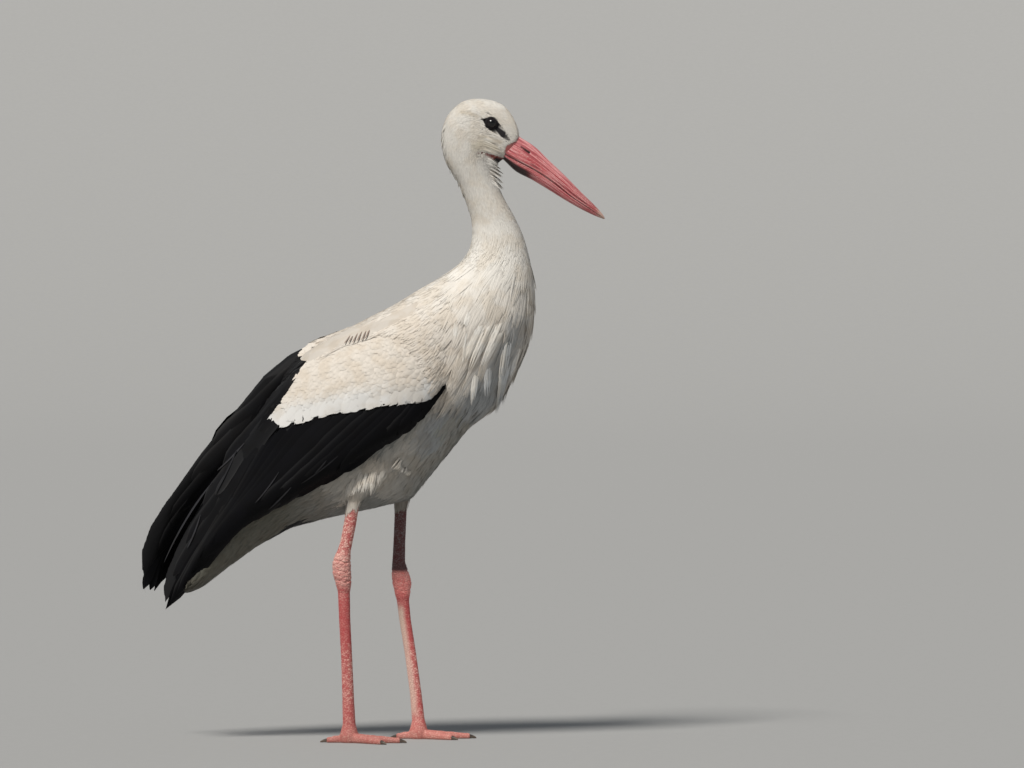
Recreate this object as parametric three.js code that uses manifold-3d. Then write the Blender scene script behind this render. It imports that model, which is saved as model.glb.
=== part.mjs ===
// A white stork standing at rest, life size. Millimetres, +Z up, the bird faces +X and its right side is -Y.
// The origin is on the ground, midway between bill tip and wing tips.
import * as THREE from "three";
import { mergeVertices } from "three/addons/utils/BufferGeometryUtils.js";
import Module from "manifold-3d";

// ---- Driving dimensions ----
const FIT_GAP = 0.3; // clearance left between neighbouring pieces
const SEAM_GAP = 0.35; // width of the thin cut between two lengths of one body
const RIGHT = -1;
const LEFT = 1;
const EYE_RADIUS = 8.2;
const EYE_CENTRE = [170, 15.6, 896]; // x, distance from the midline, z
const WING_PIVOT = [117, 560]; // wrist joint, x and z
const LEFT_WING_LIFT_DEG = 5.5; // the left wing is held a little higher and looser than the right
const LEFT_WING_REACH = 1.03; // so it lies a little further back
const LEFT_TIP_DROOP = 0.5; // and this share of the lift is lost over its last section
const HIP_Y = 46; // legs' distance from the midline at the hip
const FOOT_Y = 41; // and at the foot
const BODY_SIDES = 24;
const BILL_SIDES = 12;
const WING_SIDES = 16;
const WING_RINGS = 17;
const LEG_SIDES = 12;
const TOE_SIDES = 8;
const CLAW_SIDES = 6;

// ---- Colours ----
const paint = (color, roughness) => new THREE.MeshStandardMaterial({ color, roughness, metalness: 0 });
const WHITE_PLUMAGE = paint(0xe9e2d6, 0.9);
const BLACK_PLUMAGE = paint(0x14141a, 0.6);
const BILL_RED = paint(0xc2444a, 0.45);
const LEG_RED = paint(0xc9606a, 0.7);
const EYE_DARK = paint(0x120c10, 0.08);
const CLAW_HORN = paint(0x4a3a38, 0.5);

// ---- Outlines ----
// A section of the body spans from a point on the back's outline to one on the front's, both (x, z).
// half is half its width, and widest moves its widest level towards the back (+) or the front (-).
const section = (back, front, half, widest = 0) => ({ back, front, half, widest });
const BODY = [
  section([212, 876], [188, 842], 13, 0),
  section([207, 896], [181, 837], 16.5, -0.05),
  section([190, 922], [177, 831], 20, -0.05),
  section([161, 932], [174, 825], 23.5, 0.05),
  section([129, 929], [174, 821], 25.5, 0.1),
  section([104, 905], [177, 816], 26, 0.1),
  section([97, 871], [180, 811], 25.5, 0.05),
  section([104, 838], [184, 799], 25, 0),
  section([120, 812], [193, 780], 25, 0),
  section([133, 780], [204, 761], 26.5, 0),
  section([141, 747], [216, 737], 30, 0),
  section([138, 713], [226, 700], 37, 0),
  section([113, 684], [233, 660], 48, 0),
  section([74, 661], [232, 613], 61, 0.05),
  section([30, 634], [223, 573], 72, 0.1),
  section([-13, 612], [206, 523], 79, 0.1),
  section([-57, 590], [178, 483], 82, 0.1),
  section([-93, 567], [139, 454], 83, 0.1),
  section([-119, 536], [97, 402], 81, 0.1),
  section([-144, 503], [55, 350], 76, 0.1),
  section([-165, 462], [1, 337], 68, 0.1),
  section([-186, 421], [-57, 325], 56, 0.1),
  section([-206, 379], [-119, 309], 44, 0.1),
  section([-226, 335], [-173, 280], 36, 0),
  section([-246, 292], [-215, 249], 33, 0),
  section([-264, 251], [-248, 223], 32, 0),
  section([-280, 222], [-273, 213], 30, 0),
];
// Places along BODY, counted in sections, where one part of the bird ends and the next begins.
const BODY_PARTS = {
  head: 0,
  neck_upper: 7,
  neck_lower: 9.5,
  breast: 12,
  trunk: 16,
  rump: 21,
  tail: 23,
  end: 26,
};
const TRUNK_START = BODY_PARTS.breast;

// A folded wing's section spans from its upper edge to its lower edge, both (x, z), at these distances
// from the midline. Between them out is how far it bulges outwards, and deep how deep it goes inwards.
function wingSection(upper, lower, upperY, lowerY, out, deep) {
  return { upper, lower, upperY, lowerY, out, deep };
}
const WING = [
  wingSection([119, 572], [115, 545], 56, 58, 5, 8),
  wingSection([82, 606], [103, 515], 62, 64, 17, 32),
  wingSection([38, 610], [76, 476], 57, 73, 25, 42),
  wingSection([-6, 597], [38, 443], 49, 79, 31, 50),
  wingSection([-57, 575], [-9, 419], 42, 79, 33, 52),
  wingSection([-105, 549], [-64, 384], 30, 72, 33, 48),
  wingSection([-149, 508], [-115, 354], 13, 63, 32, 40),
  wingSection([-183, 456], [-162, 331], 5, 53, 26, 26),
  wingSection([-220, 402], [-212, 303], 4, 43, 19, 14),
  wingSection([-252, 347], [-246, 274], 5, 33, 12, 8),
  wingSection([-278, 302], [-267, 240], 7, 25, 7, 6),
  wingSection([-299, 258], [-284, 218], 9, 20, 4, 4),
  wingSection([-309, 222], [-303, 196], 11, 15, 1.5, 1.5),
];
// The lower limit of the white coverts, and the line that parts secondaries from tertials and primaries.
const COVERT_EDGE = [
  [-162, 460],
  [-136, 460],
  [-107, 466],
  [-78, 474],
  [-20, 485],
  [38, 493],
  [67, 494],
  [84, 502],
  [100, 522],
  [124, 549],
];
const COVERT_REAR = [[-107, 535], [-122, 518], [-136, 500], [-151, 483]];
const TERTIAL_EDGE = [[-205, 390], [-240, 320], [-266, 240], [-280, 190]];

// ---- Small maths ----
const lerp = THREE.MathUtils.lerp;

// Catmull-Rom value at place t along a row of numbers.
function curveValue(row, t) {
  const i = Math.min(Math.floor(t), row.length - 2);
  const at = (k) => row[THREE.MathUtils.clamp(k, 0, row.length - 1)];
  const f = t - i;
  const [a, b, c, d] = [at(i - 1), at(i), at(i + 1), at(i + 2)];
  return b + 0.5 * f * (c - a + f * (2 * a - 5 * b + 4 * c - d + f * (3 * (b - c) + d - a)));
}

// The same place on every number of a list of like objects, arrays inside them included.
function blendSections(list, t) {
  const blended = {};
  for (const key of Object.keys(list[0])) {
    const isPoint = Array.isArray(list[0][key]);
    const row = (k) => list.map((entry) => (isPoint ? entry[key][k] : entry[key]));
    blended[key] = isPoint ? list[0][key].map((_, k) => curveValue(row(k), t)) : curveValue(row(0), t);
  }
  return blended;
}

// ---- Solids ----
const wasm = await Module();
wasm.setup();

function solidOf(geometry) {
  const bare = geometry.clone();
  bare.deleteAttribute("normal");
  bare.deleteAttribute("uv");
  const merged = mergeVertices(bare, 1e-3);
  const vertProperties = merged.attributes.position.array;
  const triVerts = new Uint32Array(merged.index.array);
  return new wasm.Manifold(new wasm.Mesh({ numProp: 3, vertProperties, triVerts }));
}

function geometryOf(solid) {
  const mesh = solid.getMesh();
  const geometry = new THREE.BufferGeometry();
  geometry.setAttribute("position", new THREE.BufferAttribute(mesh.vertProperties, mesh.numProp));
  geometry.setIndex(new THREE.BufferAttribute(mesh.triVerts, 1));
  geometry.computeVertexNormals();
  return geometry;
}

// A closed skin over rings of points, with a fan at each end. It turns itself to face out.
function skinRings(rings) {
  const sides = rings[0].length;
  const points = rings.flat();
  const centreOf = (ring) => ring.reduce((sum, p) => sum.add(p), new THREE.Vector3()).divideScalar(sides);
  const first = points.push(centreOf(rings[0])) - 1;
  const last = points.push(centreOf(rings.at(-1))) - 1;
  const faces = [];
  for (let r = 0; r + 1 < rings.length; r++) {
    for (let s = 0; s < sides; s++) {
      const a = r * sides + s;
      const b = r * sides + ((s + 1) % sides);
      faces.push([a, b, b + sides], [a, b + sides, a + sides]);
    }
  }
  const top = (rings.length - 1) * sides;
  for (let s = 0; s < sides; s++) {
    const next = (s + 1) % sides;
    faces.push([first, next, s], [last, top + s, top + next]);
  }
  const volume = faces.reduce((sum, [a, b, c]) => sum + points[a].dot(points[b].clone().cross(points[c])), 0);
  const turned = volume < 0 ? faces.map(([a, b, c]) => [a, c, b]) : faces;
  const geometry = new THREE.BufferGeometry().setFromPoints(points);
  geometry.setIndex(turned.flat());
  return geometry;
}

function placesBetween(from, to, steps) {
  return Array.from({ length: steps + 1 }, (_, i) => lerp(from, to, i / steps));
}

// One length of the body, from place `from` to place `to` along BODY; grow makes it larger all round.
// Sections are close on the head, and the long smooth trunk needs no more rings than sections.
function bodyGeometry(from, to, grow = 0) {
  const between = placesBetween(0, BODY.length - 1, 2 * (BODY.length - 1));
  const inside = between.filter((t) => t > from + 0.1 && t < to - 0.1 && (t <= TRUNK_START || t % 1 === 0));
  return skinRings(
    [from, ...inside, to].map((t) => {
      const { back, front, half, widest } = blendSections(BODY, t);
      const middle = [(back[0] + front[0]) / 2, (back[1] + front[1]) / 2];
      const reach = Math.hypot(back[0] - front[0], back[1] - front[1]) / 2;
      const larger = (reach + grow) / reach;
      return Array.from({ length: BODY_SIDES }, (_, i) => {
        const turn = (2 * Math.PI * i) / BODY_SIDES;
        const level = (Math.cos(turn) + widest * Math.sin(turn) ** 2) * larger;
        return new THREE.Vector3(
          middle[0] + (level * (back[0] - front[0])) / 2,
          (half + grow) * Math.sin(turn),
          middle[1] + (level * (back[1] - front[1])) / 2,
        );
      });
    }),
  );
}

const liftOf = (side) => (side === LEFT ? THREE.MathUtils.degToRad(-LEFT_WING_LIFT_DEG) : 0);

// A wing's whole closed shape, before it is cut to fit round the trunk; grow makes it larger all round.
function wingGeometry(side, grow = 0) {
  const reach = side === LEFT ? LEFT_WING_REACH : 1;
  const [pivotX, pivotZ] = WING_PIVOT;
  const rings = placesBetween(0, WING.length - 1, WING_RINGS - 1).map((t) => {
    const { upper, lower, upperY, lowerY, out, deep } = blendSections(WING, t);
    const droop = LEFT_TIP_DROOP * Math.max(0, t - (WING.length - 2));
    const lift = liftOf(side) * (1 - droop);
    return Array.from({ length: WING_SIDES }, (_, i) => {
      const turn = (2 * Math.PI * i) / WING_SIDES;
      const larger = 1 + (2 * grow) / Math.hypot(upper[0] - lower[0], upper[1] - lower[1]);
      const share = (1 + Math.cos(turn) * larger) / 2; // 1 at the upper edge, 0 at the lower
      const swell = Math.sin(turn) * (grow + (turn < Math.PI ? out : deep));
      const x = (lerp(lower[0], upper[0], share) - pivotX) * reach;
      const z = (lerp(lower[1], upper[1], share) - pivotZ) * reach;
      const y = Math.max(lerp(lowerY, upperY, share) + swell, FIT_GAP);
      return new THREE.Vector3(
        pivotX + x * Math.cos(lift) - z * Math.sin(lift),
        side * y,
        pivotZ + x * Math.sin(lift) + z * Math.cos(lift),
      );
    });
  });
  return skinRings(rings);
}

// A thin blade standing across the bird along a line of (x, z) points, which cuts a wing in two.
function blade(line, side) {
  const pivot = new THREE.Vector2(...WING_PIVOT);
  const points = line.map(([x, z]) => new THREE.Vector2(x, z).rotateAround(pivot, liftOf(side)));
  const shifted = points.map((p, i) => {
    const before = points[Math.max(i - 1, 0)];
    const after = points[Math.min(i + 1, points.length - 1)];
    const along = after.clone().sub(before).normalize();
    return new THREE.Vector2(p.x - along.y * SEAM_GAP, p.y + along.x * SEAM_GAP);
  });
  const reach = 400;
  const strip = new THREE.Shape([...points, ...shifted.reverse()]);
  const wall = new THREE.ExtrudeGeometry(strip, { depth: reach, bevelEnabled: false });
  return solidOf(wall.rotateX(Math.PI / 2).translate(0, reach / 2, 0));
}

// A round limb through rings given as [x, y, z, half depth, half width]: upright rings across a level
// direction, or level rings without one. Points under the ground are raised to it, so it stands on flats.
function limbGeometry(rings, sides, direction) {
  const across = direction ? new THREE.Vector3(-direction.y, direction.x, 0) : new THREE.Vector3(0, 1, 0);
  const other = direction ? new THREE.Vector3(0, 0, 1) : new THREE.Vector3(1, 0, 0);
  return skinRings(
    rings.map(([x, y, z, depth, width]) =>
      Array.from({ length: sides }, (_, i) => {
        const turn = (2 * Math.PI * (i + 0.5)) / sides;
        const p = new THREE.Vector3(x, y, z);
        p.addScaledVector(across, Math.cos(turn) * width).addScaledVector(other, Math.sin(turn) * depth);
        p.z = Math.max(p.z, 0);
        return p;
      }),
    ),
  );
}

const byVolume = (solid) => solid.decompose().sort((a, b) => b.volume() - a.volume());
const lowest = (solid) => solid.boundingBox().min[2];
const rearmost = (solid) => solid.boundingBox().min[0];

// ---- The bird ----
const stork = new THREE.Group();
function addPiece(name, shape, material) {
  const mesh = new THREE.Mesh(shape.isBufferGeometry ? shape : geometryOf(shape), material);
  mesh.name = name;
  stork.add(mesh);
}

// Head, neck, breast, trunk, rump and tail are lengths of one body.
const partNames = Object.keys(BODY_PARTS).slice(0, -1);
const seamShare = SEAM_GAP / 60; // sections are about 30 to 60 mm apart
const bodyPieces = partNames.map((name, i) => {
  const from = BODY_PARTS[name] + (i ? seamShare : 0);
  const to = Object.values(BODY_PARTS)[i + 1] - seamShare;
  return [name, solidOf(bodyGeometry(from, to))];
});
function eyeBall(side, grow) {
  const ball = new THREE.SphereGeometry(EYE_RADIUS + grow, 14, 8);
  return solidOf(ball.translate(EYE_CENTRE[0], side * EYE_CENTRE[1], EYE_CENTRE[2]));
}
for (const [name, solid] of bodyPieces) {
  const sockets = eyeBall(RIGHT, FIT_GAP).add(eyeBall(LEFT, FIT_GAP));
  addPiece(name, name === "head" ? solid.subtract(sockets) : solid, WHITE_PLUMAGE);
}
addPiece("eye_right", eyeBall(RIGHT, 0), EYE_DARK);
addPiece("eye_left", eyeBall(LEFT, 0), EYE_DARK);

// The bill: the culmen and the lower keel are the outline, and the tomium is the line between the mandibles.
function billSection(culmen, upperTomium, lowerTomium, keel, half) {
  return { culmen, upperTomium, lowerTomium, keel, half };
}
const BILL = [
  billSection([212.5, 875.5], [193, 849.6], [192.4, 848.8], [188.7, 842], 12),
  billSection([233, 862], [213, 838.8], [212.4, 838], [206, 826], 11.8),
  billSection([255, 841], [237, 826], [236.5, 825.2], [229, 814], 10.4),
  billSection([278, 819], [262, 809], [261.5, 808.2], [254, 799], 8.9),
  billSection([299, 797.5], [286, 790], [285.5, 789.2], [279, 783.5], 7),
  billSection([318, 778.8], [308, 775.5], [307.6, 774.8], [302, 770.6], 4.9),
  billSection([330, 766], [324, 764.6], [323.6, 764], [320, 762], 3),
  billSection([335, 757.6], [333.6, 757.9], [332, 758], [331, 757.6], 0.8),
];
// Half a round on the outline's side and nearly flat on the tomium's side.
const halfRound = (rise) => (rise > 0 ? -0.55 + 1.55 * rise : -0.55 + 0.45 * rise);
function mandibleGeometry(topKey, bottomKey, flatTop) {
  return skinRings(
    placesBetween(0, BILL.length - 1, 14).map((t) => {
      const at = blendSections(BILL, t);
      const [top, bottom] = [at[topKey], at[bottomKey]];
      return Array.from({ length: BILL_SIDES }, (_, i) => {
        const turn = (2 * Math.PI * i) / BILL_SIDES;
        const rise = Math.cos(turn) * (flatTop ? -1 : 1); // 1 on the outline, -1 on the tomium
        const level = flatTop ? -halfRound(rise) : halfRound(rise);
        const share = (1 + level) / 2;
        const width = at.half * Math.sin(turn);
        return new THREE.Vector3(lerp(bottom[0], top[0], share), width, lerp(bottom[1], top[1], share));
      });
    }),
  );
}
const HEAD_CLEAR = solidOf(bodyGeometry(0, 3, FIT_GAP));
const upperMandible = solidOf(mandibleGeometry("culmen", "upperTomium", false));
const lowerMandible = solidOf(mandibleGeometry("lowerTomium", "keel", true));
addPiece("bill_upper", upperMandible.subtract(HEAD_CLEAR), BILL_RED);
addPiece("bill_lower", lowerMandible.subtract(HEAD_CLEAR), BILL_RED);

// Wings: the white coverts, the black secondaries, and the black tertials and primaries behind them.
const trunkClear = solidOf(bodyGeometry(11, 26, FIT_GAP));
const aboveBack = [-40, 720];
const inFrontOfWrist = [220, 560];
const belowTail = [-290, 100];
const covertLine = [inFrontOfWrist, ...COVERT_EDGE.toReversed(), ...COVERT_REAR.toReversed(), aboveBack];
const tertialLine = [COVERT_EDGE[1], ...TERTIAL_EDGE, belowTail];
for (const side of [RIGHT, LEFT]) {
  const sideName = side === RIGHT ? "right" : "left";
  const wing = solidOf(wingGeometry(side)).subtract(trunkClear);
  const cut = byVolume(wing.subtract(blade(covertLine, side)).subtract(blade(tertialLine, side)));
  const [coverts, ...lowerTwo] = cut.slice(0, 3).sort((a, b) => lowest(b) - lowest(a));
  const [primaries, secondaries] = lowerTwo.sort((a, b) => rearmost(a) - rearmost(b));
  addPiece(`wing_${sideName}_coverts`, coverts, WHITE_PLUMAGE);
  addPiece(`wing_${sideName}_secondaries`, secondaries, BLACK_PLUMAGE);
  addPiece(`wing_${sideName}_primaries`, primaries, BLACK_PLUMAGE);
}

// Legs: a feathered thigh, a bare shank, the hock joint, the long tarsus and the foot, as level rings
// of [x, z, half depth, half width]. The right leg stands upright, the left one is a step ahead.
const LEGS = {
  right: {
    thigh: [
      [16, 478, 20, 10], [12, 448, 34, 22], [3, 410, 37, 26],
      [-9, 379, 27, 21], [-17, 362, 19, 15.5], [-26, 350, 12, 11],
      [-29.5, 344, 9.6, 9.2],
    ],
    shank: [
      [-29.8, 343.6, 8.4, 7.6], [-34, 318, 8.3, 7.2], [-39, 292, 8.2, 7.2],
      [-43, 277, 9.2, 8.2],
    ],
    hock: [
      [-43.2, 276.6, 9.3, 8.3], [-46.5, 262, 12.2, 10.6], [-46, 246, 12.6, 11],
      [-43.8, 232, 10.6, 9.6], [-43, 220, 8.6, 7.8],
    ],
    tarsus: [
      [-43, 219.6, 8.2, 7], [-42, 180, 7.5, 6.3], [-39, 120, 7.4, 6.2],
      [-36.8, 60, 7.9, 6.5], [-35.6, 27, 8.8, 7.6],
    ],
    foot: { at: -35.5, yawDeg: 8 },
  },
  left: {
    thigh: [
      [62, 478, 20, 10], [58, 448, 34, 22], [53, 410, 37, 26],
      [49, 381, 29, 21], [44, 362, 21, 15.5], [40, 350, 13, 11],
      [38.3, 342, 9.8, 9.2],
    ],
    shank: [
      [38.2, 341.6, 8.4, 7.6], [37.4, 318, 8, 7.2], [36, 285, 8, 7.2],
      [35, 256, 8.9, 8.2],
    ],
    hock: [
      [35.2, 255.6, 9, 8.3], [37, 242, 11.4, 10.4], [39.8, 229, 13.2, 11.2],
      [40.3, 216, 11, 9.8], [41, 204, 8.9, 7.8],
    ],
    tarsus: [
      [41, 203.6, 8.5, 7], [44, 175, 7.8, 6.4], [52, 125, 7.6, 6.2],
      [60, 65, 7.8, 6.5], [63.6, 27, 8.8, 7.6],
    ],
    foot: { at: 64, yawDeg: 4 },
  },
};
// Toes: the angle outwards from straight ahead, the length to the claw, and the half width at the root.
const TOES = {
  middle: { angleDeg: 0, length: 74, half: 5.4 },
  inner: { angleDeg: -34, length: 56, half: 4.8 },
  outer: { angleDeg: 33, length: 62, half: 4.8 },
  hind: { angleDeg: 172, length: 32, half: 4.2 },
};
const CLAW_LENGTH = 10;
// The level rings of the foot's middle, as [z, half depth, half width].
const FOOT_HUB = [
  [26.6, 8.9, 7.7],
  [18, 11, 9.4],
  [10, 13.5, 11.5],
  [3, 13, 11],
  [-1, 11, 9.4],
];
// A claw narrows from the toe's end: [share of its length, height, half depth, share of the toe's width].
const CLAW_RINGS = [
  [0, 3.6, 3, 0.6],
  [0.45, 2.9, 2.2, 0.45],
  [0.85, 1.7, 1.3, 0.26],
  [1, 1.1, 0.8, 0.12],
];
const TOE_ROOT_HEIGHT = 7.5;
const TOE_TIP_HEIGHT = 4;
const WEB = { reach: 24, bottom: 1.5, thickness: 3 };

const toeStart = (toe) => (toe === "hind" ? 14 : 21);

// How far a leg's ring lies from the midline: straight down from hip to foot.
const legY = (z) => lerp(FOOT_Y, HIP_Y, THREE.MathUtils.clamp(z / LEGS.right.thigh[0][1], 0, 1));

// Along a toe, pads swell between the joints.
function toeRings(origin, ahead, { length, half }, from, to, steps, grow = 0) {
  const padsPerToe = 3;
  return placesBetween(from, to, steps).map((along) => {
    const share = along / length;
    const pad = 1 + 0.1 * Math.cos(2 * Math.PI * padsPerToe * share);
    const height = lerp(TOE_ROOT_HEIGHT, TOE_TIP_HEIGHT, share);
    const width = lerp(half, half * 0.68, share) * pad;
    const [x, y] = [origin.x + ahead.x * along, origin.y + ahead.y * along];
    return [x, y, height * 0.8, height * pad + grow, width + grow];
  });
}

function clawRings(origin, ahead, { length, half }) {
  return CLAW_RINGS.map(([share, z, depth, width]) => {
    const along = length + FIT_GAP + share * CLAW_LENGTH;
    return [origin.x + ahead.x * along, origin.y + ahead.y * along, z, depth, width * half];
  });
}

// The middle of the foot with the toes' roots and the small webs that join them.
function footSolid(origin, aheadOf, grow) {
  const hub = FOOT_HUB.map(([z, depth, width]) => [origin.x, origin.y, z, depth + grow, width + grow]);
  const reach = WEB.reach + grow;
  const corners = ["inner", "middle", "outer"].map((toe) => aheadOf(toe).multiplyScalar(reach));
  const web = new THREE.Shape([new THREE.Vector2(0, 0), ...corners.map((p) => new THREE.Vector2(p.x, p.y))]);
  const plate = new THREE.ExtrudeGeometry(web, { depth: WEB.thickness + 2 * grow, bevelEnabled: false });
  plate.translate(origin.x, origin.y, WEB.bottom - grow);
  const roots = Object.entries(TOES).map(([toe, shape]) => {
    const rings = toeRings(origin, aheadOf(toe), shape, 0, toeStart(toe) + grow, 1, grow);
    return solidOf(limbGeometry(rings, TOE_SIDES, aheadOf(toe)));
  });
  const solid = solidOf(limbGeometry(hub, LEG_SIDES)).add(solidOf(plate));
  return roots.reduce((sum, root) => sum.add(root), solid);
}

for (const side of [RIGHT, LEFT]) {
  const sideName = side === RIGHT ? "right" : "left";
  const leg = LEGS[sideName];
  const levelRings = (rings) => rings.map(([x, z, depth, width]) => [x, side * legY(z), z, depth, width]);
  const thigh = solidOf(limbGeometry(levelRings(leg.thigh), LEG_SIDES));
  const wingClear = solidOf(wingGeometry(side, FIT_GAP));
  addPiece(`thigh_${sideName}`, byVolume(thigh.subtract(trunkClear).subtract(wingClear))[0], WHITE_PLUMAGE);
  for (const part of ["shank", "hock", "tarsus"]) {
    addPiece(`${part}_${sideName}`, limbGeometry(levelRings(leg[part]), LEG_SIDES), LEG_RED);
  }
  const origin = new THREE.Vector3(leg.foot.at, side * FOOT_Y, 0);
  const aheadOf = (toe) => {
    const turn = side * THREE.MathUtils.degToRad(TOES[toe].angleDeg + leg.foot.yawDeg);
    return new THREE.Vector3(Math.cos(turn), Math.sin(turn), 0);
  };
  const clear = footSolid(origin, aheadOf, FIT_GAP);
  addPiece(`foot_${sideName}`, footSolid(origin, aheadOf, 0), LEG_RED);
  for (const [toe, shape] of Object.entries(TOES)) {
    const rings = toeRings(origin, aheadOf(toe), shape, toeStart(toe), shape.length, 6);
    const solid = solidOf(limbGeometry(rings, TOE_SIDES, aheadOf(toe)));
    addPiece(`toe_${sideName}_${toe}`, byVolume(solid.subtract(clear))[0], LEG_RED);
    const claw = limbGeometry(clawRings(origin, aheadOf(toe), shape), CLAW_SIDES, aheadOf(toe));
    addPiece(`claw_${sideName}_${toe}`, claw, CLAW_HORN);
  }
}

export default stork;
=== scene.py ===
# %% [markdown]
# # A white stork, life size
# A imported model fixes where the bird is: its solids give every part's place and size. This script puts a
# finished bird on that frame. One skin takes the place of the solids of flesh, and feathers of solid mesh lie
# over it. The bill, the eyes, the claws and the scaly legs are pieces of their own.

import math
from contextlib import contextmanager

import bmesh
import bpy
import numpy as np
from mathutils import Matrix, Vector
from mathutils.bvhtree import BVHTree
from mathutils.kdtree import KDTree


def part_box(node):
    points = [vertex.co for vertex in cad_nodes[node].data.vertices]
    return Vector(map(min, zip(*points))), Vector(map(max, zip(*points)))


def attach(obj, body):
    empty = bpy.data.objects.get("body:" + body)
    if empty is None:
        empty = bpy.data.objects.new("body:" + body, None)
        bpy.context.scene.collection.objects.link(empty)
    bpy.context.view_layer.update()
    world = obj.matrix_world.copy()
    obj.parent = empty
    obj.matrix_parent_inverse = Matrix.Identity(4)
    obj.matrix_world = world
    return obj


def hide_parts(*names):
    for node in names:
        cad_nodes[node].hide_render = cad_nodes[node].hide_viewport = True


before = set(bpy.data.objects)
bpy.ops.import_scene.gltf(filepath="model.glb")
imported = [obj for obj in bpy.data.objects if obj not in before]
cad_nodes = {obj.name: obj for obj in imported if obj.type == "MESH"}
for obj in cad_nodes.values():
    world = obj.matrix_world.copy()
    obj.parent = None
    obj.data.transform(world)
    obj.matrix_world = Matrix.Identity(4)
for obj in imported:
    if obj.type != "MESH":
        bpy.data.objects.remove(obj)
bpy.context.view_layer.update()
rng = np.random.default_rng(7)

# %% [markdown]
# ## The camera, the light and the floor
# The bird is seen from its right side by a long lens, a little above its knees' height, so its sides hardly
# taper. The lens is worked out from the width of the view at the bird. A sun lamp with a wide disc stands in
# for a large soft lamp high up behind the viewer's left shoulder, and the world fills the shade with cooler
# light.

# %% Camera
VIEW_WIDTH = 1.485  # metres at the bird, from side to side
CAMERA_DISTANCE = 12.0
CAMERA_RISE_DEG = 1.5
VIEW_CENTRE = Vector((0.2, 0.0, 0.518))


def placed(name, data):
    """A new object with this data, put in the scene."""
    made = bpy.data.objects.new(name, data)
    bpy.context.scene.collection.objects.link(made)
    return made


lens = bpy.data.cameras.new("camera")
lens.sensor_width = 36.0
lens.lens = lens.sensor_width * CAMERA_DISTANCE / VIEW_WIDTH
lens.clip_end = 200.0
camera = placed("camera", lens)
rise = math.radians(CAMERA_RISE_DEG)
away = Vector((0.0, -math.cos(rise), math.sin(rise)))
camera.location = VIEW_CENTRE + away * CAMERA_DISTANCE
camera.rotation_euler = (-away).to_track_quat("-Z", "Y").to_euler()
bpy.context.scene.camera = camera
bpy.context.scene.view_settings.view_transform = "Standard"
print("lens:", round(lens.lens, 1), "mm")

# %% Lamp and world
KEY_FROM = Vector((-0.4, -0.68, 1.08))
KEY_STRENGTH = 3.5
KEY_DISC_DEG = 16.0  # how wide the lamp looks from the bird: wider makes softer shadows
KEY_COLOUR = (1.0, 0.965, 0.91)
WORLD_STRENGTH = 0.22
WORLD_COLOUR = (0.84, 0.91, 1.0, 1.0)

light = bpy.data.lights.new("key", "SUN")
light.energy = KEY_STRENGTH
light.angle = math.radians(KEY_DISC_DEG)
light.color = KEY_COLOUR
lamp = placed("key", light)
lamp.rotation_euler = KEY_FROM.to_track_quat("Z", "Y").to_euler()

world = bpy.data.worlds.new("world")
world.use_nodes = True
backdrop = world.node_tree.nodes["Background"]
backdrop.inputs["Color"].default_value = WORLD_COLOUR
backdrop.inputs["Strength"].default_value = WORLD_STRENGTH
bpy.context.scene.world = world
print("lamp:", light.name, "world:", WORLD_STRENGTH)

# %% [markdown]
# ## Meshes from arrays
# Thousands of feathers are quickest to work out as arrays, and a mesh can be filled from an array of points
# and one of faces. A piece made so rides on the body and takes the finish it is given.

# %% Mesh helpers
def mesh_from_arrays(name, points, faces):
    """A smooth-shaded mesh from (n, 3) points and (m, 3 or 4) faces."""
    mesh = bpy.data.meshes.new(name)
    corners = faces.shape[1]
    mesh.vertices.add(len(points))
    mesh.vertices.foreach_set("co", np.ascontiguousarray(points, np.float32).ravel())
    mesh.loops.add(faces.size)
    mesh.loops.foreach_set("vertex_index", np.ascontiguousarray(faces, np.int32).ravel())
    mesh.polygons.add(len(faces))
    mesh.polygons.foreach_set("loop_start", np.arange(0, faces.size, corners, dtype=np.int32))
    mesh.update(calc_edges=True)
    mesh.shade_smooth()
    return mesh


def rows_of(items, field, width, kind=np.float32):
    """One field of a mesh's points, edges or corners, as an array with a row for each."""
    values = np.empty(len(items) * width, kind)
    items.foreach_get(field, values)
    return values.reshape(-1, width)


def points_of(mesh):
    """A mesh's vertices as an (n, 3) array."""
    return rows_of(mesh.vertices, "co", 3).astype(float)


def normals_of(mesh):
    """A mesh's vertex normals as an (n, 3) array."""
    return rows_of(mesh.vertex_normals, "vector", 3).astype(float)


def move_points(mesh, points):
    """Puts a mesh's vertices at the rows of an (n, 3) array."""
    mesh.vertices.foreach_set("co", points.astype(np.float32).ravel())
    mesh.update()


@contextmanager
def edited(mesh):
    """A mesh opened for bmesh operations, and put back afterwards."""
    bm = bmesh.new()
    bm.from_mesh(mesh)
    yield bm
    bm.to_mesh(mesh)
    bm.free()


def set_uv(mesh, name, per_point):
    """A UV map from an (n, 2) array with one entry for each vertex."""
    layer = mesh.uv_layers.new(name=name, do_init=False)
    corner_points = rows_of(mesh.loops, "vertex_index", 1, np.int32)[:, 0]
    layer.data.foreach_set("uv", per_point[corner_points].astype(np.float32).ravel())


def set_tint(mesh, colours):
    """The colour of each vertex, which the finishes read as the attribute Tint."""
    layer = mesh.color_attributes.new("Tint", "FLOAT_COLOR", "POINT")
    full = np.ones((len(colours), 4), np.float32)
    full[:, :3] = colours
    layer.data.foreach_set("color", full.ravel())


# %% Pieces, and sums over many points
def add_piece(name, mesh, finish, replaced=()):
    """Links a mesh as a piece of the bird."""
    piece = placed(name, mesh)
    mesh.materials.clear()
    mesh.materials.append(finish)
    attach(piece, "root")
    if replaced:
        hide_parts(*replaced)
    print(f"{name}: {sum(len(p.vertices) - 2 for p in mesh.polygons)} triangles")
    return piece


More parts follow.
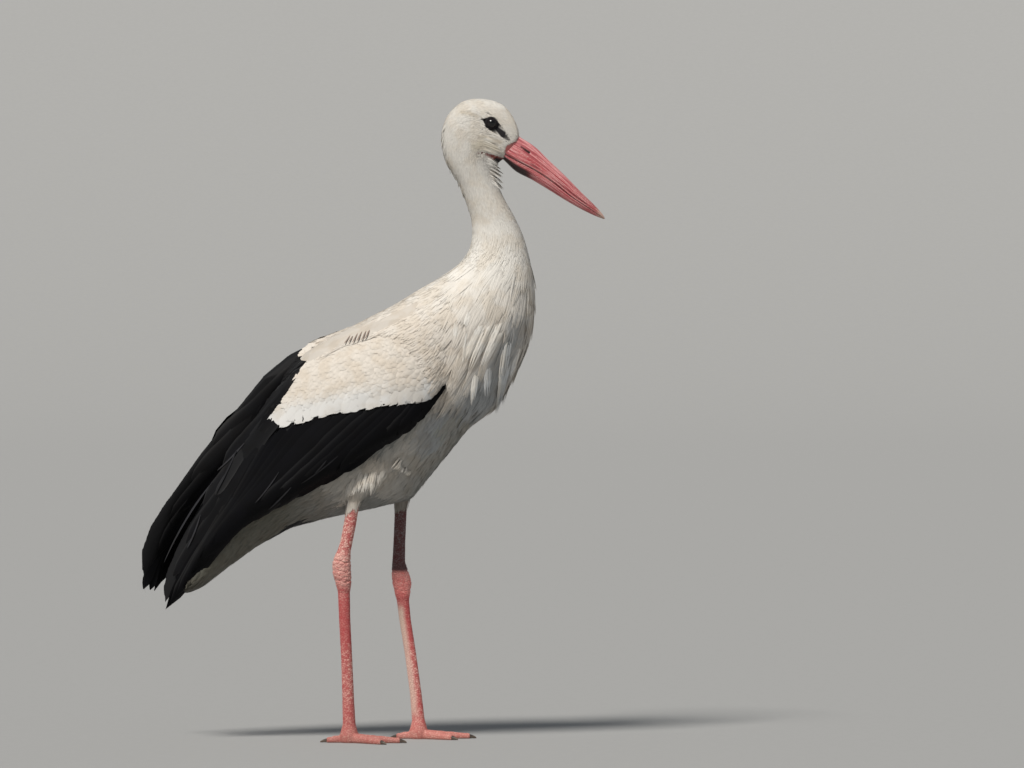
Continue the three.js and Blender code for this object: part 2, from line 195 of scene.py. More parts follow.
def end_to_end(rows):
    """The first arrays of several tuples joined, the second ones joined, and so on."""
    return [np.concatenate(parts) for parts in zip(*rows)]


def unit(vectors):
    """Vectors scaled to length one."""
    return vectors / np.maximum(np.linalg.norm(vectors, axis=-1, keepdims=True), 1e-12)


def ramp(values, low, high):
    """0 below low, 1 above high and smooth between."""
    share = np.clip((values - low) / (high - low), 0, 1)
    return share * share * (3 - 2 * share)


def blended(first, second, share):
    """A mix of two colours with a share for each point."""
    return first + (second - first) * share[:, None]


def toned(colours, factors, share):
    """Colours multiplied by factors, by a share for each point."""
    return blended(colours, colours * factors, share)


# %% [markdown]
# ## Shader maths as expressions
# A finish is a web of nodes, and most of them are sums. The small class below wraps a socket so that sums can
# be written as on paper: each operator adds its Math node.

# %% Signals
class Signal:
    """A number that varies over a surface, as a socket that adds and multiplies."""

    def __init__(self, finish, socket):
        self.finish = finish
        self.socket = socket

    def combined(self, operation, other, turned=False):
        pair = {0: other, 1: self} if turned else {0: self, 1: other}
        node = self.finish.node("ShaderNodeMath", {"operation": operation}, pair)
        return Signal(self.finish, node.outputs[0])

    def __add__(self, other):
        return self.combined("ADD", other)

    def __radd__(self, other):
        return self.combined("ADD", other, True)

    def __sub__(self, other):
        return self.combined("SUBTRACT", other)

    def __rsub__(self, other):
        return self.combined("SUBTRACT", other, True)

    def __mul__(self, other):
        return self.combined("MULTIPLY", other)

    def __rmul__(self, other):
        return self.combined("MULTIPLY", other, True)

    def smoothly(self, low, high):
        """Goes from 0 at low to 1 at high."""
        limits = {0: self, 1: low, 2: high}
        node = self.finish.node("ShaderNodeMapRange", {"interpolation_type": "SMOOTHSTEP"}, limits)
        return Signal(self.finish, node.outputs[0])


# %% Finishes
class Finish:
    """A material whose Principled shader is fed by nodes made with node()."""

    def __init__(self, name, **fixed):
        self.material = bpy.data.materials.new(name)
        self.material.use_nodes = True
        self.tree = self.material.node_tree
        self.shader = self.tree.nodes["Principled BSDF"]
        for socket, value in fixed.items():
            self.shader.inputs[socket.replace("_", " ")].default_value = value

    def node(self, kind, settings=None, inputs=None):
        """Adds a node, sets it up and joins or sets its inputs."""
        made = self.tree.nodes.new(kind)
        for key, value in (settings or {}).items():
            setattr(made, key, value)
        for key, value in (inputs or {}).items():
            self.join(made.inputs[key], value)
        return made

    def join(self, target, value):
        """Links a signal or a socket to target, or sets a plain value on it."""
        if isinstance(value, Signal):
            self.tree.links.new(value.socket, target)
        elif isinstance(value, bpy.types.NodeSocket):
            self.tree.links.new(value, target)
        else:
            target.default_value = value

    def feed(self, socket, value):
        """Joins a value to one of the shader's own sockets."""
        self.join(self.shader.inputs[socket], value)

    def mix(self, share, first, second, blend="MIX"):
        """A mix of two colours."""
        inputs = {0: share, 6: first, 7: second}
        return self.node("ShaderNodeMix", {"data_type": "RGBA", "blend_type": blend}, inputs).outputs[2]

    def tint(self):
        """The colour attribute that the mesh carries."""
        return self.node("ShaderNodeAttribute", {"attribute_name": "Tint"}).outputs["Color"]

    def tint_level(self):
        """How bright the mesh's own colour is."""
        node = self.node("ShaderNodeAttribute", {"attribute_name": "Tint"})
        return Signal(self, node.outputs["Fac"])

    def uv(self, name):
        """A UV map's two coordinates as signals."""
        place = self.node("ShaderNodeUVMap", {"uv_map": name}).outputs["UV"]
        parts = self.node("ShaderNodeSeparateXYZ", None, {0: place})
        return Signal(self, parts.outputs[0]), Signal(self, parts.outputs[1])

    def noise(self, scale, detail=3.0, place=None, stretch=None):
        """Soft noise in the bird's own space, stretched by a vector if one is given."""
        if place is None:
            place = self.node("ShaderNodeTexCoord").outputs["Object"]
        if stretch:
            place = self.node("ShaderNodeMapping", None, {"Vector": place, "Scale": stretch}).outputs[0]
        inputs = {"Vector": place, "Scale": scale, "Detail": detail}
        return Signal(self, self.node("ShaderNodeTexNoise", None, inputs).outputs["Fac"])

    def grain(self, scale, detail, share, tone):
        """Feeds the mesh's colour, darkened towards tone by fine noise, and returns the noise."""
        fine = self.noise(scale, detail)
        self.feed("Base Color", self.mix(fine * share, self.tint(), tone, "MULTIPLY"))
        return fine

    def bump(self, height, strength, distance):
        """Sends a height to the Normal socket through a Bump node."""
        inputs = {"Height": height, "Strength": strength, "Distance": distance}
        self.feed("Normal", self.node("ShaderNodeBump", None, inputs).outputs[0])


# %% [markdown]
# ## Floor
# A plain pale dish, flat under the bird and then rising in a gentle curve, so that no horizon shows. It is
# one line of points turned round the upright axis.

# %% Floor dish
FLAT_RADIUS = 13.5
CURVE_RADIUS = 26.0
RIM_SLOPE_DEG = 32.0
DISH_SIDES = 96
FLAT_RINGS = 12
CURVE_RINGS = 15
HOLE_RADIUS = 0.004


def tube_faces(rings, around):
    """Quads between rings that have the same number of points and follow each other."""
    here = np.arange(around)
    after = (here + 1) % around
    band = np.stack([here, after, after + around, here + around], 1)
    return (band[None] + (np.arange(rings - 1) * around)[:, None, None]).reshape(-1, 4)


def dish_mesh():
    """The dish as points and quads, with a tiny hole in its middle."""
    bends = np.radians(np.linspace(0.0, RIM_SLOPE_DEG, CURVE_RINGS + 1))[1:]
    flat_radii = np.linspace(HOLE_RADIUS, FLAT_RADIUS, FLAT_RINGS)
    radii = np.concatenate([flat_radii, FLAT_RADIUS + CURVE_RADIUS * np.sin(bends)])
    heights = np.concatenate([np.zeros(FLAT_RINGS), CURVE_RADIUS * (1 - np.cos(bends))])
    angles = np.linspace(0, 2 * math.pi, DISH_SIDES, endpoint=False)
    ways = np.stack([np.cos(angles), np.sin(angles)], 1)
    flat = radii[:, None, None] * ways
    upright = np.broadcast_to(heights[:, None, None], (len(radii), DISH_SIDES, 1))
    points = np.concatenate([flat, upright], -1).reshape(-1, 3)
    return points, tube_faces(len(radii), DISH_SIDES)[:, ::-1]


floor_finish = Finish("floor_paper", Roughness=0.9)
grain = floor_finish.noise(60.0, 4.0)
floor_finish.feed("Base Color", floor_finish.mix(grain, (0.345, 0.345, 0.34, 1), (0.37, 0.37, 0.365, 1)))
floor_finish.bump(grain, 0.1, 0.0005)
floor_points, floor_faces = dish_mesh()
floor_mesh = mesh_from_arrays("floor", floor_points, floor_faces)
floor_mesh.materials.append(floor_finish.material)
floor = placed("floor", floor_mesh)

# %% [markdown]
# ## The skin
# Under the coat the bird is one unbroken skin, so a voxel remesh melts the solids of flesh into one closed
# surface of even faces. The trough between back and wing is filled, as feathers fill it on the bird. Then
# each point sinks by the depth of the coat there, or by less where the body is thin.

# %% Join the flesh
SIDES = {"right": -1.0, "left": 1.0}  # which way is outwards along y
WING_PARTS = ("coverts", "secondaries", "primaries")
FLESH = {
    "head": ["head", "eye_right", "eye_left"],
    "neck_upper": ["neck_upper"],
    "neck_lower": ["neck_lower"],
    "breast": ["breast"],
    "trunk": ["trunk"],
    "rump": ["rump"],
    "tail": ["tail"],
    "thigh": ["thigh_right", "thigh_left"],
}
for part in WING_PARTS:
    FLESH[part] = [f"wing_{side}_{part}" for side in SIDES]
REGIONS = list(FLESH)
SKIN_VOXEL = 0.0032
MELT = 0.0008  # the solids are swollen by this, so that the gaps between them close


def joined_solids(names, swell):
    """Copies of CAD nodes as one mesh, swollen a little, and which node each face came from."""
    mesh = bpy.data.meshes.new("joined")
    owner = []
    with edited(mesh) as bm:
        for name in names:
            bm.from_mesh(cad_nodes[name].data)
            owner += [name] * (len(bm.faces) - len(owner))
        bmesh.ops.remove_doubles(bm, verts=bm.verts, dist=1e-5)
        bm.normal_update()
        for vert in bm.verts:
            vert.co += vert.normal * swell
        tree = BVHTree.FromBMesh(bm)
    return mesh, tree, owner


def remeshed(mesh, voxel):
    """The outer surface of a mesh, melted into one and covered in even squares."""
    holder = placed("holder", mesh)
    melt = holder.modifiers.new("melt", "REMESH")
    melt.mode = "VOXEL"
    melt.voxel_size = voxel
    ready = holder.evaluated_get(bpy.context.evaluated_depsgraph_get())
    result = bpy.data.meshes.new_from_object(ready)
    bpy.data.objects.remove(holder)
    return result


flesh_names = [name for names in FLESH.values() for name in names]
joined, flesh_tree, face_owner = joined_solids(flesh_names, MELT)
skin_mesh = remeshed(joined, SKIN_VOXEL)
print("skin:", len(skin_mesh.vertices), "points, faces of flesh:", len(face_owner))


# %% Regions, neighbours and smoothing
def surface_tree(mesh, points):
    """A mesh's faces, with its vertices at the given points, ready to be searched."""
    return BVHTree.FromPolygons([Vector(p) for p in points], [tuple(p.vertices) for p in mesh.polygons])


def nearest_faces(tree, points):
    """The face of a tree that is nearest to each point, and the place on it."""
    found = [tree.find_nearest(point) for point in points]
    places = np.array([hit[0] for hit in found])
    return places, np.array([hit[2] for hit in found])


def edges_of(mesh):
    """A mesh's edges as an (n, 2) array of vertices."""
    return rows_of(mesh.edges, "vertices", 2, np.int32)


def among(region, *names):
    """Which entries of an array of region numbers stand for one of the named regions."""
    return np.isin(region, [REGIONS.index(name) for name in names])


def spread(values, edges, rounds, keep=0.5):
    """Values on points, smoothed over a mesh by taking in their neighbours' mean."""
    flat = values.reshape(len(values), -1).astype(float)
    ends = np.concatenate([edges, edges[:, ::-1]])
    degree = np.maximum(np.bincount(ends[:, 0], minlength=len(flat)), 1)[:, None]
    for _ in range(rounds):
        sums = [np.bincount(ends[:, 0], column[ends[:, 1]], len(flat)) for column in flat.T]
        flat = keep * flat + (1 - keep) * np.stack(sums, 1) / degree
    return flat.reshape(values.shape)


def melted(names, swell, voxel, rounds):
    """CAD nodes melted into one mesh, and its points smoothed."""
    solids, _, _ = joined_solids(names, swell)
    mesh = remeshed(solids, voxel)
    return mesh, spread(points_of(mesh), edges_of(mesh), rounds)


def filled(points, normals, edges, share, rounds):
    """Points moved outwards only, so that hollows fill. share: how freely each may move."""
    for _ in range(rounds):
        outward = ((spread(points, edges, 1, FILL_KEEP) - points) * normals).sum(1)
        points = points + normals * (np.maximum(outward, 0) * share)[:, None]
    return points


# %% Fill the hollows
FILL_ROUNDS = 60
FILL_KEEP = 0.2  # how much of its own place a point keeps in each round
owner_region = {name: REGIONS.index(region) for region, names in FLESH.items() for name in names}
face_region = np.array([owner_region[name] for name in face_owner])
skin_points = points_of(skin_mesh)
skin_edges = edges_of(skin_mesh)
_, skin_faces_near = nearest_faces(flesh_tree, skin_points)
skin_region = face_region[skin_faces_near]
skin_normals = normals_of(skin_mesh)
upper_side = np.clip(0.5 + 2.5 * skin_normals[:, 2], 0, 1)
smooth_parts = among(skin_region, "trunk", "coverts", "breast", "neck_lower")
skin_points = filled(skin_points, skin_normals, skin_edges, upper_side * smooth_parts, FILL_ROUNDS)
print({name: int((skin_region == k).sum()) for k, name in enumerate(REGIONS)})

# %% [markdown]
# ## How the coat differs over the body
# A stork's feathers change from the scalelike ones of the face to the long plumes of the breast. Each region
# has a few numbers for them, blended over the skin, so that one kind passes into the next. Lengths are in
# metres.

# %% The coat's numbers
COAT = {
    # region: depth, length, width, spacing, pointed, clumped
    "head": (0.0017, 0.0085, 0.002, 0.0016, 0.85, 0.6),
    "neck_upper": (0.0025, 0.018, 0.0028, 0.0022, 0.9, 0.6),
    "neck_lower": (0.0036, 0.032, 0.0042, 0.0031, 0.9, 0.35),
    "breast": (0.0044, 0.046, 0.0072, 0.0042, 0.8, 0.3),
    "trunk": (0.0042, 0.036, 0.012, 0.0054, 0.35, 0.05),
    "rump": (0.0042, 0.04, 0.0115, 0.0058, 0.35, 0.05),
    "tail": (0.0034, 0.044, 0.012, 0.0064, 0.25, 0.00),
    "thigh": (0.0036, 0.022, 0.0036, 0.0027, 0.9, 0.5),
    "coverts": (0.003, 0.022, 0.0125, 0.0054, 0.1, 0.00),
    "secondaries": (0.0026, 0.034, 0.014, 0.0075, 0.15, 0.00),
    "primaries": (0.002, 0.04, 0.013, 0.008, 0.2, 0.00),
}
BLEND_ROUNDS = 24
THICKEST = 0.2  # no part of the body is thicker than this
THIN_SHARE = 0.28  # where the body is thin, the skin sinks by no more than this share of it
THIN_PART = (0.012, 0.006)  # the thin end of the tail is softened: its thickness
THIN_PART_BACK = (0.24, 0.29)  # and how far behind the middle of the bird it begins
coat_table = np.array([COAT[name] for name in REGIONS])
coat_fields = spread(coat_table[skin_region], skin_edges, BLEND_ROUNDS)
coat_depth = coat_fields[:, 0]


# %% Sink the skin under the coat
def inner_distance(tree, points, normals):
    """How thick the body is under each point, straight in."""
    distances = np.full(len(points), THICKEST)
    for k, (point, normal) in enumerate(zip(points, normals)):
        start = Vector(point - normal * 2e-4)
        hit = tree.ray_cast(start, Vector(-normal), THICKEST)
        if hit[0] is not None:
            distances[k] = hit[3]
    return distances


move_points(skin_mesh, skin_points)
skin_normals = normals_of(skin_mesh)
unsunk_tree = surface_tree(skin_mesh, skin_points)
thickness = spread(inner_distance(unsunk_tree, skin_points, skin_normals), skin_edges, 6)
sink = np.minimum(coat_depth + MELT, THIN_SHARE * thickness)
skin_points = skin_points - skin_normals * spread(sink, skin_edges, 6)[:, None]
softer_points = spread(skin_points, skin_edges, 14)
thin = ramp(thickness, *THIN_PART) * ramp(-skin_points[:, 0], *THIN_PART_BACK)
thin = spread(thin, skin_edges, 4)[:, None]
skin_points = spread(skin_points, skin_edges, 3) * (1 - thin) + softer_points * thin
move_points(skin_mesh, skin_points)
skin_normals = unit(spread(normals_of(skin_mesh), skin_edges, 4))
print("coat depth:", round(sink.min(), 4), "to", round(sink.max(), 4))

# %% [markdown]
# ## Which way the coat lies
# Feathers point away from the bill, along the bird. A smooth line through the middles of the body's parts
# gives that direction: each point of the skin takes it from the nearest place of the line, laid flat on the
# skin. A wing's feathers follow its own length, a thigh's point down, and the long plumes of the breast hang.
# The same line, with the angle around it, is the unwrap that places each feather's patch of colour.

# %% The spine and the lie
WRIST = np.array([0.117, 0.56])  # x and z of the folded wing's front end
LEFT_WING_LIFT_DEG = 5.5
LEFT_WING_REACH = 1.015
LEFT_TIP_DROOP = 0.6  # the share of the lift that is lost towards the tip
WING_STEEPNESS = ([0.44, 0.56], [52.0, 40.0])  # heights, and the slope of the feathers there in degrees
THIGH_LIE = (-0.25, 0, -1)


def middle(node):
    """The centre of a CAD node's box."""
    low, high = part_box(node)
    return np.array((low + high) / 2)


bill_low, bill_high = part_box("bill_upper")
bill_root = np.array([bill_low.x + 0.014, 0.0, bill_high.z - 0.02])
tail_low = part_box("tail")[0]
BODY_PARTS = ("head", "neck_upper", "neck_lower", "breast", "trunk", "rump", "tail")
SPINE_KNOTS = [bill_root + (0.03, 0, -0.01), bill_root]
SPINE_KNOTS += [middle(name) for name in BODY_PARTS]
SPINE_KNOTS += [np.array([tail_low.x, 0.0, tail_low.z])]


def smooth_line(knots, steps):
    """A Catmull-Rom line through knots, with `steps` places between each two."""
    knots = np.array(knots)
    padded = np.concatenate([2 * knots[:1] - knots[1:2], knots, 2 * knots[-1:] - knots[-2:-1]])
    share = np.linspace(0, 1, steps, endpoint=False)[:, None]
    pieces = []
    for before, here, after, beyond in zip(padded, padded[1:], padded[2:], padded[3:]):
        cubic = 3 * (here - after) + beyond - before
        square = 2 * before - 5 * here + 4 * after - beyond
        pieces.append(here + 0.5 * share * (after - before + share * (square + share * cubic)))
    return np.concatenate(pieces + [knots[-1:]])


spine = smooth_line(SPINE_KNOTS, 20)
spine_along = unit(np.gradient(spine, axis=0))
spine_reach = np.concatenate([[0], np.cumsum(np.linalg.norm(np.diff(spine, axis=0), axis=1))])


# %% The lie over the skin
def nearest_spine(points):
    """The spine's place that is nearest to each point in side view."""
    gaps = points[:, None, (0, 2)] - spine[:, (0, 2)]
    return np.argmin((gaps**2).sum(-1), axis=1)


def flat_on(directions, normals):
    """Directions with the part along the normal taken out."""
    return unit(directions - (directions * normals).sum(-1, keepdims=True) * normals)


def wing_direction(points):
    """How a folded wing's feathers lie: along the wing, and steeper towards its lower margin."""
    steep = np.radians(np.interp(points[:, 2], *WING_STEEPNESS))
    steep -= np.where(points[:, 1] > 0, math.radians(LEFT_WING_LIFT_DEG), 0.0)
    return np.stack([-np.cos(steep), np.zeros(len(points)), -np.sin(steep)], 1)


def coat_lie():
    """The direction of the coat at every point of the skin."""
    lie = spine_along[nearest_spine(skin_points)].copy()
    hang = np.clip((skin_points[:, 0] - 0.09) / 0.09, 0, 1) * among(skin_region, "breast", "trunk")
    lie += hang[:, None] * np.array([-0.1, 0, -0.9])
    wings = among(skin_region, *WING_PARTS)
    lie[wings] = wing_direction(skin_points[wings])
    lie[among(skin_region, "thigh")] = THIGH_LIE
    lie = flat_on(unit(lie), skin_normals)
    for _ in range(3):
        lie = flat_on(spread(lie, skin_edges, 8), skin_normals)
    return lie


skin_lie = coat_lie()
print("spine:", len(spine), "places,", round(spine_reach[-1], 3), "m long")

# %% [markdown]
# ## Bare places of the face
# A stork's eye sits in a patch of bare black skin that runs forward in a streak towards the bill, and behind
# to a point. A line of bare red skin runs back from the corner of the mouth. No feather grows there. Each
# place is a chain of discs in side view.

# %% Bare places
EYE = (middle("eye_right") + middle("eye_left") * (1, -1, 1)) / 2
eye_low, eye_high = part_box("eye_right")
EYE_RADIUS = (eye_high.x - eye_low.x) / 2
# Each disc: how far it lies in front of the eye's middle and above it, and its radius.
EYE_PATCH = [(-0.0195, 0.0087, 0.0004), (-0.0125, 0.0055, 0.001), (-0.006, 0.0025, 0.0054)]
EYE_PATCH += [(0, 0, 0.0098), (0.008, -0.008, 0.0076), (0.0155, -0.015, 0.0058)]
EYE_PATCH += [(0.0215, -0.021, 0.0034), (0.0262, -0.0258, 0.001)]
GAPE_LINE = [(-0.021, -0.0423, 0.0006), (-0.008, -0.044, 0.0018)]
GAPE_LINE += [(0.004, -0.049, 0.0034), (0.014, -0.0535, 0.0048)]
BILL_ROOT = [(0.0312, -0.0409, 0.0118), (0.0428, -0.0329, 0.0098)]  # smooth red skin
# These two lines and the cheek aren't bare: their feathers are darker, and the cheek's buff is partly painted
# shade below the eye.
BROW_LINE = [(-0.036, 0.018, 0.001), (-0.0273, 0.0148, 0.0012), (-0.0195, 0.01, 0.0006)]
CHEEK_LINE = [(-0.013, -0.0175, 0.0005), (0.004, -0.0242, 0.0009), (0.016, -0.028, 0.0006)]
CHEEK_BUFF_AND_SHADE = [(-0.02, -0.0295, 0.0065), (-0.004, -0.0275, 0.005)]
HEAD_ABOVE = 0.82  # the bare places are all higher than this


# %% How far inside a bare place
def segment_gap(places, start, end):
    """How far (n, 2) places are from a segment, and how far along it they are."""
    start, step = np.array(start), np.array(end) - np.array(start)
    share = np.clip(((places - start) @ step) / (step @ step), 0, 1)
    return np.linalg.norm(places - start - share[:, None] * step, axis=1), share


def chain_depth(points, chain, origin=EYE):
    """How far inside a chain of discs each point is in side view, in metres; below 0 is outside."""
    place = points[:, (0, 2)] - np.array(origin)[[0, 2]]
    best = np.full(len(points), -1.0)
    for (*start, from_radius), (*end, to_radius) in zip(chain, chain[1:]):
        gap, share = segment_gap(place, start, end)
        best = np.maximum(best, from_radius + (to_radius - from_radius) * share - gap)
    return best


def bare(points):
    """How far inside bare skin each point is."""
    inside = np.max([chain_depth(points, chain) for chain in (EYE_PATCH, GAPE_LINE, BILL_ROOT)], axis=0)
    return np.where(points[:, 2] > HEAD_ABOVE, inside, -1.0)


# %% [markdown]
# ## Colour
# The bird is warm white with black flight feathers. The warm tone is strongest on the neck, back and
# shoulder, and the lowest row of white coverts is a cooler, purer white. Shade is painted into the colour:
# the underside and belly are painted grey, the vent and tail a darker grey with a black wedge at the vent,
# and the lower breast a cooler shade grey. Skin and feathers ask the same function for their colour, so they
# always agree.

# %% Plumage colour
WARM_WHITE = np.array([0.75, 0.69, 0.615])
HEAD_WHITE = np.array([0.86, 0.825, 0.765])
PURE_WHITE = np.array([0.72, 0.71, 0.69])
# the belly's grey is painted shade
BELLY_PAINTED_SHADE = np.array([0.24, 0.243, 0.23])
# the vent's and the tail's grey is painted shade, darker still at the tail's end
VENT_PAINTED_SHADE = np.array([0.132, 0.128, 0.106])
SHADE_GREY = np.array([0.35, 0.36, 0.365])
BLACK = np.array([0.003, 0.003, 0.004])
TAIL_END_PAINTED_SHADE = 0.6
# Chains of discs as above, but placed in the bird's own side view.
# a black wedge painted as the deep shade at the vent, under the wing's rear
VENT_PAINTED_SHADOW = [(-0.07, 0.331, 0.003), (-0.083, 0.327, 0.0075)]
VENT_PAINTED_SHADOW += [(-0.102, 0.319, 0.006), (-0.122, 0.31, 0.0025)]
BREAST_SHADE = [(0.212, 0.64, 0.01), (0.202, 0.59, 0.02)]
BREAST_SHADE += [(0.16, 0.52, 0.032), (0.115, 0.46, 0.038)]
# What the warm white is multiplied by on the back, on the lines of the face and on the cheek, whose buff is
# partly painted shade.
MANTLE_TONE = (0.86, 0.85, 0.83)
LINE_TONE = (0.82, 0.78, 0.72)
CHEEK_BUFF_AND_SHADE_TONE = (0.9, 0.87, 0.8)
MANTLE_END = -0.088  # the white of the back ends here, under the wings' black tertials
TAIL_START = -0.21  # and there the tail's own colour begins
UNDER_BODY = 0.45  # below this height the body's feathers are those of belly, vent and tail
INNER_HALF_WIDTH = 0.026  # the wings' inner faces, over the back, are nearer the middle than this
COVERT_EDGE = [(-0.162, 0.46), (-0.136, 0.46), (-0.107, 0.466), (-0.078, 0.474), (-0.02, 0.485)]
COVERT_EDGE += [(0.038, 0.493), (0.067, 0.493), (0.081, 0.498), (0.096, 0.51), (0.104, 0.52), (0.122, 0.543)]
COVERT_EDGE = np.array(COVERT_EDGE)
COVERT_REAR = np.array([(-0.162, 0.46), (-0.094, 0.551)])


# %% The limits of the white coverts
def levelled(points):
    """Side-view places of a wing's points, turned back to the right wing's pose."""
    lift = np.where(points[:, 1] > 0, math.radians(LEFT_WING_LIFT_DEG), 0.0)
    x, z = points[:, 0] - WRIST[0], points[:, 2] - WRIST[1]
    return WRIST + np.stack([x * np.cos(lift) - z * np.sin(lift), x * np.sin(lift) + z * np.cos(lift)], 1)


def above_covert_edge(points):
    """How high points stand over the lower limit of the white coverts, in metres."""
    place = levelled(points)
    return place[:, 1] - np.interp(place[:, 0], COVERT_EDGE[:, 0], COVERT_EDGE[:, 1])


def ahead_of_covert_rear(points):
    """How far in front of the rear limit of the white coverts points are, in metres."""
    step = unit(COVERT_REAR[1] - COVERT_REAR[0])
    return (levelled(points) - COVERT_REAR[0]) @ np.array([step[1], -step[0]])


def covert_room(points):
    """How far inside the white area of the coverts points are."""
    return np.minimum(above_covert_edge(points), ahead_of_covert_rear(points))


# %% Colour at any point
def white_tones(points, normals, body):
    """The coat's whites, and the greys of its painted shade. body: which points belong to trunk, rump or
    tail.
    """
    x, z = points[:, 0], points[:, 2]
    # below: painted shade on the underside, stronger the more the skin faces down
    below = ramp(-normals[:, 2], -0.15, 0.75) * ramp(x, 0.24, 0.12)
    low = body * ramp(z, UNDER_BODY, 0.4)
    mantle = body * ramp(x, 0.16, 0.1) * ramp(z, 0.52, 0.55)
    shaded = ramp(chain_depth(points, BREAST_SHADE, (0, 0, 0)), -0.012, 0.016)
    face = ramp(z, HEAD_ABOVE, 0.83)
    line = np.maximum(chain_depth(points, BROW_LINE), chain_depth(points, CHEEK_LINE))
    colour = blended(WARM_WHITE, HEAD_WHITE, ramp(z, 0.6, 0.72))
    colour = blended(colour, BELLY_PAINTED_SHADE, below * ramp(z, 0.62, 0.48))
    colour = blended(colour, np.minimum(colour, SHADE_GREY), shaded)
    # painted shade: the vent and tail under the wings are grey, darkest at the tail's end
    colour = blended(colour, VENT_PAINTED_SHADE, low * ramp(-x, 0.02, 0.12))
    colour = blended(colour, VENT_PAINTED_SHADE * TAIL_END_PAINTED_SHADE, low * ramp(-x, 0.215, 0.245))
    colour = toned(colour, MANTLE_TONE, mantle)
    colour = toned(colour, LINE_TONE, face * ramp(line, -0.0045, 0.001))
    # the cheek's darker buff is partly painted shade below the eye
    return toned(colour, CHEEK_BUFF_AND_SHADE_TONE, face * ramp(chain_depth(points, CHEEK_BUFF_AND_SHADE), -0.006, 0.004))


def plumage_colour(points, normals, region):
    """The colour of skin or feather at points of the skin."""
    x, y, z = points.T
    body = among(region, "trunk", "rump", "tail")
    on_wing = among(region, *WING_PARTS)
    colour = white_tones(points, normals, body)
    colour = blended(colour, PURE_WHITE, ramp(above_covert_edge(points), 0.05, 0.022) * on_wing)
    inner = (np.abs(y) < INNER_HALF_WIDTH) & (x < -0.094)
    black = on_wing & ((covert_room(points) < 0.001) | inner)
    under_wings = z > 0.432 + 0.95 * (x + 0.13)
    black |= body & (x < MANTLE_END) & (x > TAIL_START) & under_wings
    # the black at the vent is painted shadow; the rest of this black is the wings' own
    black |= body & (chain_depth(points, VENT_PAINTED_SHADOW, (0, 0, 0)) > 0)
    colour[black] = BLACK
    return colour


# %% [markdown]
# ## One maker for every small feather
# A contour feather is a thin leaf: a shaft that bends with the body, a vane that is roofed a little across
# it, and a tip that frays. Here each one is a small mesh of a few quads whose shape runs from round to
# pointed. The shaft is walked over the skin along the lie, so a feather hugs the body, and it rises from root
# to tip, so that each one lies over the roots of the next. Real vanes mat together, so each mesh is given the
# skin's own normals, turned a little towards its edges, and the coat shades as a whole.

# %% Roots and shafts
CROWD = 6  # random places tried for each one that is kept, more or less
face_corners = np.array([tuple(p.vertices) for p in skin_mesh.polygons])
skin_tree = surface_tree(skin_mesh, skin_points)


def at_faces(field, faces):
    """A field of the skin's points, at faces."""
    return field[face_corners[faces]].mean(axis=1)


def scatter(faces, gap):
    """Places about `gap` apart on faces: a crowd of random ones, thinned to one in each small cube."""
    corners = skin_points[face_corners[faces]]
    doubled = np.cross(corners[:, 2] - corners[:, 0], corners[:, 3] - corners[:, 1])
    areas = 0.5 * np.linalg.norm(doubled, axis=1)
    count = int(CROWD * areas.sum() / gap**2)
    chosen = rng.choice(len(faces), count, p=areas / areas.sum())
    across, along = rng.random((2, count, 1))
    near = corners[chosen, 0] * (1 - across) + corners[chosen, 1] * across
    far = corners[chosen, 3] * (1 - across) + corners[chosen, 2] * across
    places = near * (1 - along) + far * along
    cells = np.floor(places / gap).astype(int)
    _, kept = np.unique(cells, axis=0, return_index=True)
    kept = rng.permutation(kept)
    return places[kept], faces[chosen[kept]]


def walk(places, lengths, shares, sway):
    """The line from each root along the lie, and the skin's normals there."""
    line, normals = [], []
    here = places
    for k, share in enumerate(shares):
        here, faces = nearest_faces(skin_tree, here)
        normal = unit(at_faces(skin_normals, faces))
        ahead = flat_on(at_faces(skin_lie, faces), normal)
        ahead = unit(ahead + np.cross(normal, ahead) * sway[:, None])
        line.append(here)
        normals.append(normal)
        if k + 1 < len(shares):
            here = here + ahead * (lengths * (shares[k + 1] - share))[:, None]
    return np.stack(line, 1), np.stack(normals, 1)


# %% The vane
def vane_widths(shares, pointed):
    """Half widths along a vane, as a share of the widest. pointed: 0 round, 1 pointed."""
    opening = 0.35 + 0.65 * np.sin(np.clip(shares / 0.45, 0, 1) * math.pi / 2)
    closing_round = np.sqrt(np.clip(1 - np.clip((shares - 0.5) / 0.56, 0, 1) ** 2.4, 0, 1))
    closing_sharp = np.clip(1 - np.clip((shares - 0.3) / 0.72, 0, 1), 0, 1) ** 0.85
    return opening * (closing_round + (closing_sharp - closing_round) * pointed[:, None])


def grid_faces(count, rows, columns):
    """Quads of `count` separate grids with rows by columns points each."""
    first = np.arange(rows - 1)[:, None] * columns + np.arange(columns - 1)
    quad = np.stack([first, first + columns, first + columns + 1, first + 1], -1).reshape(-1, 4)
    return (quad[None] + (np.arange(count) * rows * columns)[:, None, None]).reshape(-1, 4)


# %% Where a feather lies on the unwrap
def unwrap(places):
    """Where places lie on an unwrap of the skin: how far along the spine, and the angle round it."""
    nearest = nearest_spine(places)
    offset = places - spine[nearest]
    up = np.cross(spine_along[nearest], (0.0, 1.0, 0.0))
    angle = np.arctan2(offset[:, 1], (offset * up).sum(1))
    return np.stack([spine_reach[nearest] / spine_reach[-1], 0.5 + angle / (2 * math.pi)], 1) * 0.98 + 0.01


PATCH = 0.003  # a feather's patch of colour on the unwrap
FRAY = 0.07  # how torn a vane's tip is, as a share of its length
SWEEP = 0.5  # how far back a vane's edges lie
ROOF = 0.12  # and how far down
ROUND = 0.22  # how far a vane's shading turns from middle to edge
ROOT_SHADE = 0.93  # a vane is this much darker at its root


